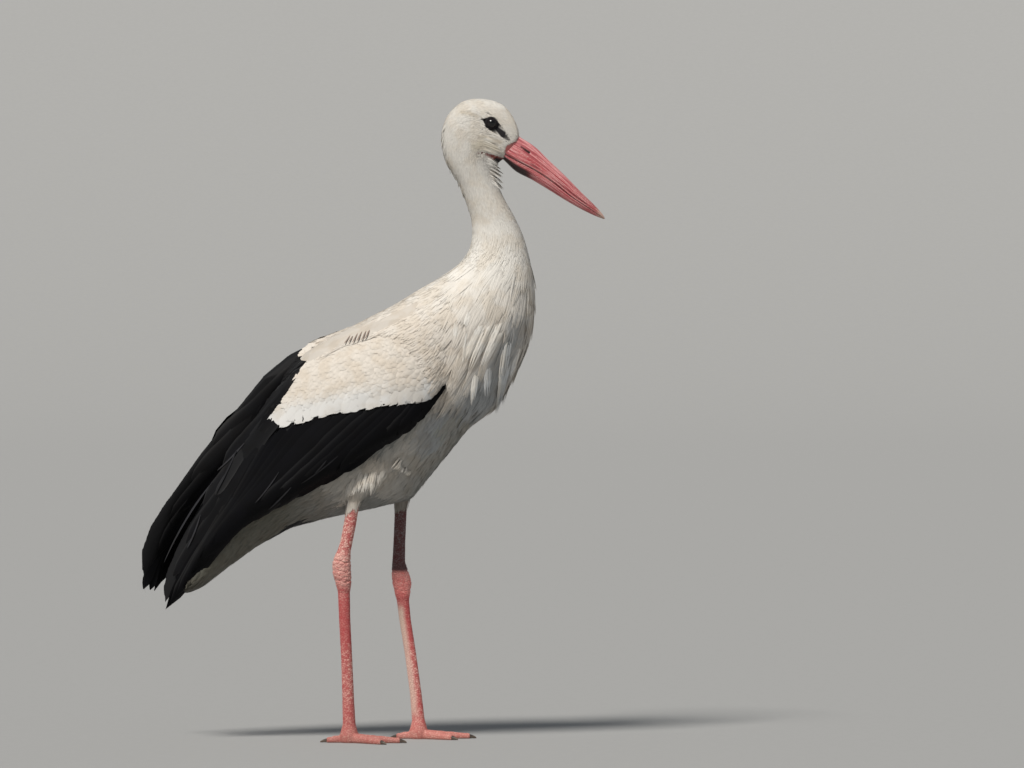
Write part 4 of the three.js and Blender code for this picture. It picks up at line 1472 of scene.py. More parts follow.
# %% Lay a leaf on a surface
def leaf(tree, outward, side, line, half_width, rises, pointed, tilt, sunk=False, lace=0.0):
    """A draped long feather as a grid of points, and the ways they face.

    line: root, tip and bow. rises: how high its root, body and tip stand. tilt: how much higher one edge
    lies than the other. Sunk feathers lie under the white coverts.
    """
    flat, widths = leaf_outline(*line, half_width, pointed, lace)
    places, facing = draped(tree, outward, lifted(flat, side))
    places[..., 1] = softened(places[..., 1], 3)
    facing = unit(softened(facing, 3))
    over = np.interp(LEAF_SHARES, [0, 0.3, 1], rises)[:, None] + tilt * LEAF_ACROSS
    over = over + LEAF_ROUND * widths[:, None] * (1 - LEAF_ACROSS**2)
    grid = places + facing * over[..., None]
    if sunk:
        room = covert_room(places.reshape(-1, 3)).reshape(LEAF_ROWS, LEAF_COLUMNS)
        under = ramp(room, -0.001, 0.004)
        grid[..., 1] -= outward * SUNK_BY[0] * under
        grid[..., 2] -= SUNK_BY[1] * under
    if outward < 0:
        grid, facing = grid[:, ::-1], facing[:, ::-1]
    return grid, facing


# %% Leaves as one mesh
def leaves_mesh(name, leaves, colours, edge_greys=None):
    """Several long feathers as one mesh. White ones have no edge greys."""
    grids, facing = (np.stack(parts) for parts in zip(*leaves))
    faces = grid_faces(len(leaves), LEAF_ROWS, LEAF_COLUMNS)
    tint = np.broadcast_to(np.array(colours)[:, None, None, :], grids.shape).copy()
    rounding = ROUND
    if edge_greys is None:
        rounding = ROUND * 0.4
    else:
        edge = np.abs(LEAF_ACROSS) ** 5 * np.array(edge_greys)[:, None, None]
        tint += (edge * LEAF_SHARES[:, None])[..., None]
        room = covert_room(grids.reshape(-1, 3))  # what lies deep under the white coverts is left out
        faces = faces[(room[faces] < 0.007).any(axis=1)]
    facing = unit(facing + rounding * LEAF_ACROSS[:, None] * unit(np.gradient(grids, axis=2)))
    own = np.stack(np.meshgrid(LEAF_ACROSS / 2 + 0.5, LEAF_SHARES), -1)
    return vanes(name, grids, faces, facing, own, grids[:, 0, LEAF_COLUMNS // 2], tint)


# %% [markdown]
# The margin below runs from the wing's rear tip along its lower edge to the wrist. Each tip sits on it, and
# each root on a second line under the coverts. Over them, above and behind, lie a few broad tertials, greyer
# partly from wear and partly as painted sheen, the right wing's top one most. Along some feathers' edges a
# hair-thin grey leaf lies, partly a worn pale edge and partly a painted streak of sheen, and at the tip of
# the left wing three feathers stand out of order, as a living bird's do. Nothing holds those to the wing's
# surface, so they are laid flat.

# %% Lay out the wings
MARGIN = [(-0.303, 0.192), (-0.29, 0.207), (-0.276, 0.226), (-0.259, 0.253), (-0.238, 0.282), (-0.214, 0.301)]
MARGIN += [(-0.18, 0.322), (-0.136, 0.345), (-0.093, 0.368), (-0.05, 0.391), (-0.01, 0.422), (0.023, 0.436)]
MARGIN += [(0.05, 0.456), (0.069, 0.478), (0.084, 0.498)]
ROOTS = [(-0.122, 0.505), (-0.112, 0.5), (-0.098, 0.497), (-0.075, 0.494), (-0.05, 0.495), (-0.02, 0.497)]
ROOTS += [(0.01, 0.5), (0.04, 0.505), (0.062, 0.508), (0.078, 0.512), (0.088, 0.516), (0.093, 0.519)]
ROOTS += [(0.097, 0.521), (0.1, 0.523), (0.103, 0.525)]
FLIGHT_COUNT = 19
TERTIALS = [
    # root, tip, bow, half width, grey (partly wear, partly painted sheen)
    ((-0.174, 0.44), (-0.225, 0.3565), 0.003, 0.0052, 0.013),
    ((-0.086, 0.543), (-0.214, 0.399), 0.004, 0.0125, 0.004),
    ((-0.102, 0.526), (-0.244, 0.342), 0.006, 0.0125, 0.006),
    ((-0.118, 0.505), (-0.27, 0.287), 0.008, 0.012, 0.003),
    ((-0.15, 0.45), (-0.29, 0.24), 0.008, 0.011, 0.003),
]
# grey lines along feather edges: partly worn pale edges, partly painted sheen
EDGE_LINES_WORN_AND_SHEEN = [
    # where it begins and ends, bow, how high it lies
    ((-0.135, 0.393), (-0.17, 0.348), 0.003, 0.003),
    ((-0.067, 0.411), (-0.084, 0.392), 0.001, 0.003),
    ((-0.05, 0.418), (-0.104, 0.377), 0.003, 0.0026),
    ((-0.183, 0.431), (-0.222, 0.39), 0.002, 0.0068),
    ((-0.229, 0.374), (-0.299, 0.256), -0.009, 0.0066),
    ((-0.247, 0.328), (-0.267, 0.28), 0.003, 0.006),
    ((-0.118, 0.372), (-0.152, 0.34), 0.002, 0.003),
    ((-0.193, 0.42), (-0.2235, 0.359), 0.002, 0.0085),
]
EDGE_LINE_WEAR_AND_SHEEN_GREY = np.array([0.032, 0.032, 0.036])
EDGE_LINE_HALF_WIDTH = 0.001
LOOSE = [
    # root, tip, half width
    ((-0.3006, 0.314), (-0.336, 0.2186), 0.007),
    ((-0.288, 0.325), (-0.3273, 0.2181), 0.0085),
    ((-0.27, 0.338), (-0.3135, 0.227), 0.0085),
]
INNER_SHARE = 0.5  # the inner face shows only behind the body, so it has the rear half of the feathers
LEFT_START = 0.05  # the left wing's loose feathers stand in for its rearmost one
# paler feather edges towards the tip: partly wear, partly painted sheen
EDGE_WEAR_AND_SHEEN_GREYS = [0.0, 0.0, 0.006, 0.02]


# %% The leaves of a wing
def flight_leaf(tree, outward, side, place, outer):
    """One flight feather. place: 0 at the wing's rear tip, 1 at the wrist."""
    knots = np.linspace(0, 1, len(MARGIN))
    tip = [np.interp(place, knots, column) for column in np.array(MARGIN).T]
    root = [np.interp(place, knots, column) for column in np.array(ROOTS).T]
    length = math.dist(root, tip)
    line = (root, tip, 0.055 * length * (1 - place))
    height = 0.0002 + 0.001 * (1 - place)
    half_width = min(0.015, 0.008 + 0.04 * length)
    rises = (-0.003, height, height)
    return leaf(tree, outward, side, line, half_width, rises, 0.5 - 0.3 * place, 0.0015, outer)


def loose_leaf(tree, outward, root, tip, half_width):
    """A feather that stands out of order, flat at the depth of its root."""
    rises = (0.0, 0.001, 0.001)
    grid, facing = leaf(tree, outward, "right", (root, tip, 0.0), half_width, rises, 0.3, 0.0)
    grid[..., 1] = tree.find_nearest(Vector((root[0], 0.03, root[1])))[0].y
    facing[:] = (0.0, outward, 0.0)
    return grid, facing


def wing_leaves(side, outer):
    """The feathers of one face of a wing: leaf, colour, and how grey the edges are."""
    places = np.linspace(0 if side == "right" else LEFT_START, 1, FLIGHT_COUNT) ** 1.1
    if not outer:
        places = places[places < INNER_SHARE]
    tree = WING_SURFACES[side]
    outward = SIDES[side] * (1 if outer else -1)
    rows = []
    for place in places[::-1]:
        made = flight_leaf(tree, outward, side, place, outer)
        rows.append((made, BLACK * rng.uniform(0.8, 1.2), rng.choice(EDGE_WEAR_AND_SHEEN_GREYS)))
    for root, tip, half_width in LOOSE if outer and side == "left" else ():
        rows.append((loose_leaf(tree, outward, root, tip, half_width), BLACK, 0.0))
    for root, tip, bow, height in EDGE_LINES_WORN_AND_SHEEN if outer and side == "right" else ():
        made = leaf(tree, outward, side, (root, tip, bow), EDGE_LINE_HALF_WIDTH, (height,) * 3, 0.9, 0.0)
        rows.append((made, EDGE_LINE_WEAR_AND_SHEEN_GREY * rng.uniform(0.6, 1.2), 0.0))
    tertials = TERTIALS[::-1] if side == "right" else TERTIALS[:0:-1]
    for order, (root, tip, bow, half_width, grey) in enumerate(tertials):
        height = 0.002 + 0.0009 * order
        rises = (-0.002, height, height)
        made = leaf(tree, outward, side, (root, tip, bow), half_width, rises, 0.15, 0.0015, outer)
        rows.append((made, BLACK + grey, 0.02))
    return rows


# %% Make the flight feathers
black_feather = feather_finish("black_feather", 0.48, 0.0, 0.08, 0.00012)
for side in SIDES:
    flight = leaves_mesh(f"flight_feathers_{side}", *zip(*wing_leaves(side, True), *wing_leaves(side, False)))
    add_piece(f"flight_feathers_{side}", flight, black_feather)

# %% [markdown]
# ## Shoulder feathers and the edge of the coverts
# Long white shoulder feathers lie over the top of the folded wing, and their lower edges make the one clear
# crease of the back. The shade in the short gaps between their tips is painted on narrow brown leaves. The
# last row of white coverts ends in round tips over the black. Both are laid out in side view like the flight
# feathers, but draped on the skin, and they stand a little higher than the coat.

# %% Shoulder feathers
SHOULDER = [
    # root, tip, half width
    ((-0.028, 0.592), (-0.103, 0.55), 0.008),
    ((-0.015, 0.598), (-0.09, 0.5575), 0.008),
    ((0.003, 0.606), (-0.0725, 0.566), 0.008),
    ((0.022, 0.611), (-0.0522, 0.573), 0.008),
    ((0.042, 0.618), (-0.0319, 0.58), 0.008),
    ((0.062, 0.627), (-0.0116, 0.5905), 0.0075),
    ((0.082, 0.638), (0.0116, 0.603), 0.007),
]
# painted shadows in the gaps between the shoulder feathers' tips
SHADOW_SLITS = [
    # root, tip
    ((-0.0312, 0.5846), (-0.0397, 0.5731)),
    ((-0.0257, 0.5868), (-0.0338, 0.5748)),
    ((-0.0199, 0.5882), (-0.0282, 0.5756)),
    ((-0.0141, 0.5901), (-0.0222, 0.5775)),
    ((-0.0083, 0.5911), (-0.016, 0.579)),
    ((-0.0032, 0.5926), (-0.0108, 0.5812)),
]
SLIT_PAINTED_SHADOW = np.array([0.3, 0.23, 0.19])
SLIT_HALF_WIDTH = 0.0007
LAST_ROW_COUNT = 25
LAST_ROW_LENGTH = 0.03
LAST_ROW_STEEP_DEG = 54
LACE = 0.0035  # how torn the ends of the last row are


# %% Make the white leaves
def last_row_line(share):
    """Root, tip and bow of one of the last coverts. share: how far along the edge it is."""
    x = COVERT_EDGE[0, 0] + share * (COVERT_EDGE[-1, 0] - COVERT_EDGE[0, 0])
    z = np.interp(x, *COVERT_EDGE.T)
    steep = math.radians(LAST_ROW_STEEP_DEG + rng.uniform(-4, 4))
    tip = np.array([x, z + rng.uniform(-0.004, 0.0025)])
    root = tip + LAST_ROW_LENGTH * rng.uniform(0.8, 1.1) * np.array([math.cos(steep), math.sin(steep)])
    return root, tip, 0.001


def white_leaves(outward, side):
    """The shoulder feathers and the last row of coverts of one side, and their colours."""
    leaves = []
    for root, tip, half_width in SHOULDER:
        line, rises = (root, tip, 0.006), (-0.001, 0.0044, 0.0054)
        leaves.append(leaf(skin_tree, outward, "right", line, half_width, rises, 0.7, 0.0011))
    for root, tip in SHADOW_SLITS:
        line, rises = (root, tip, 0.001), (0.0062, 0.0066, 0.0066)
        leaves.append(leaf(skin_tree, outward, "right", line, SLIT_HALF_WIDTH, rises, 0.9, 0.0))
    for share in np.linspace(0.02, 0.97, LAST_ROW_COUNT):
        line, rises = last_row_line(share), (-0.001, 0.0026, 0.0034)
        half_width = rng.uniform(0.0078, 0.0098)
        leaves.append(leaf(skin_tree, outward, side, line, half_width, rises, 0.85, 0.0002, lace=LACE))
    colours = [WARM_WHITE * rng.uniform(0.74, 0.81) for _ in SHOULDER] + [SLIT_PAINTED_SHADOW] * len(SHADOW_SLITS)
    colours += [PURE_WHITE * rng.uniform(0.9, 0.96) for _ in range(LAST_ROW_COUNT)]
    return leaves, colours


for side, outward in SIDES.items():
    add_white(f"shoulder_{side}", leaves_mesh(f"shoulder_{side}", *white_leaves(outward, side)))

# %% [markdown]
# ## Tail feathers
# The tail is short and square-ended and mostly hidden by the wings. Its feathers are painted a dusky grey as
# the shade under the wings. They lie side by side in an arch, the middle pair on top, so each is a straight
# leaf and the outer ones sit lower.

# %% Tail
TAIL_COUNT = 12
TAIL_HALF_SPREAD = 0.023
TAIL_ARCH = 0.004
TAIL_LEAF_HALF = 0.01
TAIL_STEP = 0.0016  # the middle feathers lie this much higher than the outer ones


def tail_leaf(share):
    """One tail feather; share runs from -1 on the right to 1 on the left."""
    start = middle("rump")
    end = np.array([tail_low.x - 0.001, 0.0, tail_low.z + 0.011])
    ahead = unit(end - start)
    up = np.cross(ahead, (0.0, 1.0, 0.0))
    up = up * np.sign(up[2] + 1e-9)
    along = LEAF_SHARES[:, None]
    widths = leaf_widths(LEAF_SHARES, 0.1) * TAIL_LEAF_HALF
    sideways = TAIL_HALF_SPREAD * share * (0.35 + 0.65 * LEAF_SHARES)
    arch = -TAIL_ARCH * share**2 * LEAF_SHARES + TAIL_STEP * (1 - abs(share))
    shaft = start + (end - start) * along * (1 - 0.03 * abs(share))
    shaft = shaft + up * arch[:, None] + np.stack([shaft[:, 0] * 0, sideways, shaft[:, 0] * 0], 1)
    lean = share * 0.5
    flank = np.array([0.0, math.cos(lean), 0.0]) - up * math.sin(lean)
    grid = shaft[:, None] + flank * (widths[:, None] * LEAF_ACROSS)[..., None]
    grid = grid - ahead * (0.4 * np.abs(LEAF_ACROSS) * widths[:, None] * along**2)[..., None]
    return grid[:, ::-1], np.broadcast_to(up, grid.shape)


tail_shares = sorted(np.linspace(-1, 1, TAIL_COUNT), key=abs, reverse=True)
# the tail feathers' dark grey is painted shade under the wings
tail_colours = [VENT_PAINTED_SHADE * rng.uniform(0.6, 0.68) for _ in tail_shares]
tail_mesh = leaves_mesh("tail_feathers", [tail_leaf(share) for share in tail_shares], tail_colours)
add_white("tail_feathers", tail_mesh)

# %% [markdown]
# ## The bill
# A stork's bill is a long straight dagger: two horn sheaths that meet along the cutting edge. Each sheath is
# a row of cross sections, round on the outside and nearly flat where it meets the other. The sheaths are kept
# apart by a thin dark line. The nostril is a slit near the root, and a shallow furrow runs along the side.

# %% Bill sections
BILL = [
    # culmen x, z; cutting edge x, z; keel x, z; half width
    (0.202, 0.884, 0.183, 0.856, 0.179, 0.85, 0.0112),
    (0.2125, 0.8755, 0.193, 0.8492, 0.1887, 0.842, 0.012),
    (0.233, 0.862, 0.213, 0.8384, 0.206, 0.826, 0.0118),
    (0.255, 0.841, 0.237, 0.8256, 0.229, 0.814, 0.0104),
    (0.278, 0.819, 0.262, 0.8086, 0.254, 0.799, 0.0089),
    (0.299, 0.7975, 0.286, 0.7896, 0.279, 0.7835, 0.007),
    (0.318, 0.7788, 0.308, 0.7751, 0.302, 0.7706, 0.0049),
    (0.33, 0.766, 0.324, 0.7643, 0.32, 0.762, 0.003),
    (0.335, 0.7576, 0.3336, 0.7577, 0.3325, 0.7572, 0.0007),
]
BILL_STEPS = 22
EDGE_GAP = 0.00025
OUTER = 46  # points round the outside of a sheath
INNER = 8  # and across its inside
LOWER_NARROWER = 0.94
NOSTRIL = ((0.2135, 0.8615), (0.2255, 0.853))
FURROW = ((0.219, 0.844), (0.308, 0.779))
BILL_RED = np.array([0.49, 0.062, 0.072])
BILL_PALE_AND_HIGHLIGHT = np.array([0.72, 0.3, 0.3])
HORN_TIP = np.array([0.42, 0.33, 0.24])
MOUTH_DARK = np.array([0.03, 0.014, 0.014])


# %% The sheaths
def sheath(upper):
    """Half the bill as (rings, points, 3), and how far round from the cutting edge each point is."""
    rows = smooth_line(BILL, BILL_STEPS)
    outer_round = np.linspace(0, math.pi, OUTER)
    level = np.concatenate([np.sin(outer_round) ** 0.82, np.full(INNER, 0.0)])
    bulge = np.cos(outer_round) * (1 - 0.12 * np.sin(outer_round) ** 2)
    wide = np.concatenate([bulge, np.linspace(-0.86, 0.86, INNER)])
    crest = rows[:, 0:2] if upper else rows[:, 4:6]
    apart = unit(crest - rows[:, 2:4]) * EDGE_GAP
    edge = rows[:, 2:4] + apart
    flat = edge[:, None] + (crest - edge)[:, None] * level[:, None]
    flat[:, OUTER + 1:-1] -= (apart * 0.96)[:, None]  # behind its rim, each sheath rests against the other
    side = rows[:, 6:7] * wide * (1 if upper else LOWER_NARROWER)
    return np.stack([flat[..., 0], side, flat[..., 1]], -1), level


# %% Colours and mesh of a sheath
def bill_colour(points, level, upper):
    """Red, pinker at the root, with a painted highlight along the top, dark at the cutting edge and pale horn
    at the very tip.
    """
    x, flat = points[:, 0], points[:, (0, 2)]
    base = ramp(x, 0.245, 0.2)
    # a little paler everywhere and at the root, the bill's own tone; along the top of the upper sheath,
    # painted highlight
    pale_and_highlight = (0.55 * ramp(level, 0.4, 0.9) + 0.1 * base) * upper + 0.15
    colour = blended(BILL_RED, BILL_PALE_AND_HIGHLIGHT, pale_and_highlight)
    colour = blended(colour, BILL_RED * (0.72, 0.85, 0.75), ramp(ramp(x, 0.2, 0.33), 0.6, 1.0))
    colour = blended(colour, HORN_TIP, ramp(x, 0.319, 0.33))
    colour = blended(colour, MOUTH_DARK, ramp(level, 0.07, 0.0) * 0.55)
    if upper:
        # the nostril slit and the furrow are darkened as their painted shade
        colour = blended(colour, MOUTH_DARK, ramp(segment_gap(flat, *NOSTRIL)[0], 0.0017, 0.0008))
        return toned(colour, 0.35, ramp(segment_gap(flat, *FURROW)[0], 0.001, 0.0002))
    under_root = ramp(x, 0.238, 0.218) * ramp(level, 0.22, 0.48)
    return blended(colour, MOUTH_DARK, under_root)


def bill_mesh(upper):
    """A sheath's mesh, closed at its ends, with its nostril and furrow pressed in."""
    rings, level = sheath(upper)
    count, around = rings.shape[:2]
    points = rings.reshape(-1, 3)
    levels = np.tile(level, count)
    faces = tube_faces(count, around)
    if upper:
        slit, _ = segment_gap(points[:, (0, 2)], *NOSTRIL)
        furrow, _ = segment_gap(points[:, (0, 2)], *FURROW)
        press = 0.0013 * ramp(slit, 0.002, 0.0006) + 0.0004 * ramp(furrow, 0.0014, 0.0)
        points[:, 1] -= np.sign(points[:, 1]) * press
    else:
        faces = faces[:, ::-1]
    mesh = mesh_from_arrays("bill", points, faces)
    with edited(mesh) as bm:
        bmesh.ops.holes_fill(bm, edges=[e for e in bm.edges if e.is_boundary], sides=0)
        bmesh.ops.recalc_face_normals(bm, faces=bm.faces)
    mesh.shade_smooth()
    along = np.repeat(np.linspace(0, 1, count), around)
    set_uv(mesh, "Vane", np.stack([along, levels], 1))
    set_tint(mesh, bill_colour(points, levels, upper))
    return mesh


# %% Horn, and the two sheaths
bill_finish = Finish("bill_horn", Specular_IOR_Level=0.5)
bill_along = bill_finish.node("ShaderNodeUVMap", {"uv_map": "Vane"}).outputs["UV"]
streaks = bill_finish.noise(1.0, 5.0, bill_along, (5.0, 46.0, 1.0))
broad = bill_finish.noise(1.0, 3.0, bill_along, (2.2, 11.0, 1.0))
flecks = bill_finish.noise(420.0, 4.0).smoothly(0.56, 0.68)
red_part = bill_finish.tint_level().smoothly(0.06, 0.18)  # the dark places get no pale streaks
# pale streaks: partly the horn's own streaks, partly painted highlight
streak_and_highlight_share = streaks.smoothly(0.51, 0.6) * red_part * 0.78
pale = bill_finish.mix(streak_and_highlight_share, bill_finish.tint(), (0.95, 0.62, 0.6, 1))
worn = bill_finish.mix(flecks * red_part * 0.35, pale, (0.86, 0.66, 0.58, 1))
dark = bill_finish.mix(broad.smoothly(0.46, 0.6) * 0.8, worn, (0.52, 0.24, 0.28, 1), "MULTIPLY")
deep = bill_finish.mix(streaks.smoothly(0.47, 0.34) * 0.7, dark, (0.55, 0.3, 0.34, 1), "MULTIPLY")
bill_finish.feed("Base Color", deep)
bill_finish.feed("Roughness", 0.22 + 0.24 * streaks)
bill_finish.bump(streaks * 0.7 + flecks * 0.3, 0.35, 0.0003)
add_piece("bill_upper_sheath", bill_mesh(True), bill_finish.material, ["bill_upper"])
add_piece("bill_lower_sheath", bill_mesh(False), bill_finish.material, ["bill_lower"])

# %% [markdown]
# ## The eyes
# A stork's eye is a wet ball with a very dark iris. It is a fine sphere with the clear front bulged a little,
# and its colours change with the angle from the way it looks, which is sideways and slightly forwards.

# %% Eyeballs
EYE_LOOK = np.array([0.18, 1.0, 0.02])  # for the left eye
LEFT_EYE = EYE * (1, -1, 1)
PUPIL_ANGLE = 0.5
IRIS_ANGLE = 0.98
PUPIL = np.array([0.002, 0.002, 0.002])
IRIS = np.array([0.01, 0.006, 0.007])
EYE_WHITE = np.array([0.01, 0.006, 0.006])  # a stork's is dark too
wet = {"Roughness": 0.1, "Coat_Weight": 1.0, "Coat_Roughness": 0.22, "Specular_IOR_Level": 0.0}
eye_finish = Finish("wet_eye", **wet)
eye_finish.grain(900.0, 2.0, 0.5, (0.5, 0.5, 0.5, 1))


# %% Make the eyeballs
def eyeball(side):
    """A sphere whose front bulges, for one side of the head."""
    mirror = (1, SIDES[side], 1)
    mesh = bpy.data.meshes.new(f"eyeball_{side}")
    with edited(mesh) as bm:
        bmesh.ops.create_uvsphere(bm, u_segments=64, v_segments=40, radius=1.0)
    ways = unit(points_of(mesh))
    angle = np.arccos(np.clip(ways @ unit(EYE_LOOK * mirror), -1, 1))
    bulge = 0.035 * ramp(angle, 0.85, 0.2)
    move_points(mesh, LEFT_EYE * mirror + ways * EYE_RADIUS * (1 + bulge)[:, None])
    mesh.shade_smooth()
    colour = blended(IRIS, PUPIL, ramp(angle, PUPIL_ANGLE + 0.03, PUPIL_ANGLE - 0.03))
    colour = blended(colour, EYE_WHITE, ramp(angle, IRIS_ANGLE - 0.03, IRIS_ANGLE + 0.03))
    set_tint(mesh, colour)
    return mesh


for side in SIDES:
    add_piece(f"eyeball_{side}", eyeball(side), eye_finish.material, [f"eye_{side}"])

# %% [markdown]
# ## The face
# The eye is set in a ring of lids, and the skin there is bare. The body's skin is too coarse for a lid, so
# its faces near the eyes are split finer. Then each of their points is moved in or out along a ray from the
# middle of the eye: inside the opening it goes behind the ball, round the opening it makes a rim, and farther
# out it returns to the head.

# %% Lids and bare skin
OPENING = math.radians(60.0)
LID = 0.001
BROW = 0.0005  # the upper lid stands out this much more
FACE_REACH = 0.024
BARE_BLACK = np.array([0.012, 0.01, 0.012])
BARE_RED = np.array([0.3, 0.08, 0.065])
ROOT_RED = np.array([0.5, 0.15, 0.14])
STREAK_GREY = np.array([0.16, 0.15, 0.14])
STREAK_END = (0.0255, -0.025)  # from the eye's middle
THROAT_SKIN = [(0.008, -0.053, 0.004), (0.018, -0.059, 0.0055), (0.03, -0.066, 0.005)]
BARE_TONES = [
    # colour, chain, and how far inside its edge the colour begins and is full
    (ROOT_RED, BILL_ROOT, -0.0006, 0.0006),
    (BARE_RED, GAPE_LINE, -0.0008, 0.0006),
    (BARE_BLACK, THROAT_SKIN, -0.001, 0.001),
    (BARE_BLACK, EYE_PATCH, -0.0004, 0.0008),
]


# %% Shape the lids
def split_near_eyes(mesh):
    """Splits the faces near the eyes into fours, twice over."""
    with edited(mesh) as bm:
        for _ in range(2):
            near = set()
            for face in bm.faces:
                centre = np.array(face.calc_center_median())
                if np.linalg.norm(centre - LEFT_EYE * (1, np.sign(centre[1]), 1)) < FACE_REACH:
                    near.update(face.edges)
            bmesh.ops.subdivide_edges(bm, edges=list(near), cuts=1, use_grid_fill=True)


def with_lids(points):
    """Points near an eye moved to make its socket and lids."""
    mirror = np.where([False, True, False], np.sign(points), 1.0)
    centre = LEFT_EYE * mirror
    ray = points - centre
    distance = np.linalg.norm(ray, axis=1)
    angle = np.arccos(np.clip((unit(ray) * unit(EYE_LOOK * mirror)).sum(1), -1, 1))
    brow = BROW * ramp(ray[:, 2], 0.0, 0.006)
    rim = EYE_RADIUS + (LID + brow) * ramp(angle, OPENING + 0.75, OPENING + 0.15) + 0.0002
    inner = EYE_RADIUS * 0.88
    wanted = inner + (rim - inner) * ramp(angle, OPENING - 0.1, OPENING + 0.05)
    free = ramp(angle, OPENING + 0.3, OPENING + 0.8)
    moved = wanted + (np.maximum(distance, wanted) - wanted) * free
    moved = np.where((distance < FACE_REACH) & (points[:, 2] > 0.8), moved, distance)
    return centre + unit(ray) * moved[:, None]


# %% Colour the skin
def skin_colours(points, region):
    """The colour of the skin: a little darker than its feathers, and bare on the face."""
    colour = plumage_colour(points, normals_of(skin_mesh), region) * 0.97
    on_head = ramp(points[:, 2], 0.815, 0.825)
    for tone, chain, low, high in BARE_TONES:
        colour = blended(colour, tone, ramp(chain_depth(points, chain), low, high) * on_head)
    to_end = points[:, (0, 2)] - (EYE[0], EYE[2]) - STREAK_END
    fading = ramp(np.hypot(*to_end.T), 0.011, 0.002) * on_head * 0.75
    return blended(colour, STREAK_GREY, fading)


split_near_eyes(skin_mesh)
face_points = points_of(skin_mesh)
fresh = len(face_points) - len(skin_points)
for _ in range(2):
    softer = spread(face_points, edges_of(skin_mesh), 2)
    face_points[len(skin_points):] = softer[len(skin_points):]
face_points = with_lids(face_points)
move_points(skin_mesh, face_points)
all_region = np.concatenate([skin_region, np.full(fresh, REGIONS.index("head"))])
set_tint(skin_mesh, skin_colours(face_points, all_region))

# %% The skin's finish
skin_finish = Finish("skin", Roughness=0.75, Specular_IOR_Level=0.3)
pores = skin_finish.grain(1400.0, 3.0, 0.25, (0.7, 0.68, 0.66, 1))
skin_finish.bump(pores, 0.4, 0.0003)
body_names = [name for name in flesh_names if not name.startswith("eye")]
add_piece("skin", skin_mesh, skin_finish.material, body_names)

# %% [markdown]
# ## The legs
# From the lower shank down there are no feathers. The skin is red and covered in small hard plates, chalky
# with dust and droppings, and thick and folded at the hock. The solids of each leg are melted into one,
# smoothed, and their plates are the cells round evenly scattered seeds: a point stands proud by how much
# nearer it is to its own seed than to the next.

# %% Plates
LEG_VOXEL = 0.0008
PLATE_GAP = 0.0027
PLATE_HEIGHT = 0.00035
PLATE_SQUEEZE = np.array([0.8, 0.8, 1.45])  # plates are a little wider than high
KNOB_GAP = 0.0052
LEG_RED = np.array([0.45, 0.052, 0.056])
LEG_PALE = np.array([0.8, 0.52, 0.44])
PALE_BACK = np.array([0.6, 0.46, 0.38])
# the body's shadow painted on the left bare shank
SHANK_PAINTED_SHADOW = (0.22, 0.24, 0.28)
LEG_DUST = np.array([0.4, 0.22, 0.17])
LEG_PARTS = ("shank", "hock", "tarsus", "foot")
TOES = ("middle", "inner", "outer", "hind")


def even_seeds(points, gap):
    """A random choice of points, none nearer to another than gap."""
    taken = {}
    chosen = []
    cells = np.floor(points / gap).astype(int)
    for k in rng.permutation(len(points)):
        x, y, z = cells[k]
        around = ((x + i, y + j, z + m) for i in (-1, 0, 1) for j in (-1, 0, 1) for m in (-1, 0, 1))
        near = [other for cell in around for other in taken.get(cell, ())]
        if all(math.dist(points[k], points[other]) > gap for other in near):
            taken.setdefault((x, y, z), []).append(k)
            chosen.append(k)
    return np.array(chosen)


def ripples(points, size):
    """Soft bumps over points, about -1 to 1: a sum of waves in many directions."""
    ways = unit(rng.normal(0, 1, (12, 3))) * 2 * math.pi / size * rng.uniform(0.6, 1.4, (12, 1))
    return np.sin(points @ ways.T + rng.uniform(0, 2 * math.pi, 12)).sum(axis=1) / 4


def plate_cells(points, seeds):
    """For each point: its nearest seed, and how much nearer that is than the second nearest."""
    tree = search_tree(points[seeds] * PLATE_SQUEEZE)
    found = [tree.find_n(place, 2) for place in points * PLATE_SQUEEZE]
    return np.array([near[1] for near, _ in found]), np.array([far[2] - near[2] for near, far in found])


# %% The finish of the legs
leg_finish = Finish("leg_skin", Roughness=0.5, Specular_IOR_Level=0.4)
dust = leg_finish.noise(700.0, 4.0)
chalk = dust.smoothly(0.56, 0.7)
leg_finish.feed("Base Color", leg_finish.mix(chalk * 0.16, leg_finish.tint(), (0.74, 0.54, 0.48, 1)))
leg_finish.feed("Roughness", 0.42 + 0.3 * dust)
leg_finish.bump(dust, 0.35, 0.0003)


# %% Folds and colours of a leg
def hock_folds(points, low, high):
    """How high the knobs and creases of a hock stand at points. low, high: its ends."""
    _, knob_lead = plate_cells(points, even_seeds(points, KNOB_GAP))
    wave = 0.0016 * np.sin(points[:, 0] / 0.0041 + points[:, 1] / 0.005)
    levels = np.linspace(low, high, 5)[1:4]
    creases = sum(np.exp(-(((points[:, 2] - level - wave) / 0.0012) ** 2)) for level in levels)
    knobs = 0.0006 * ramp(knob_lead, 0.0, 0.0022)
    return knobs - 0.0008 * creases + 0.0002 * ripples(points, 0.006)


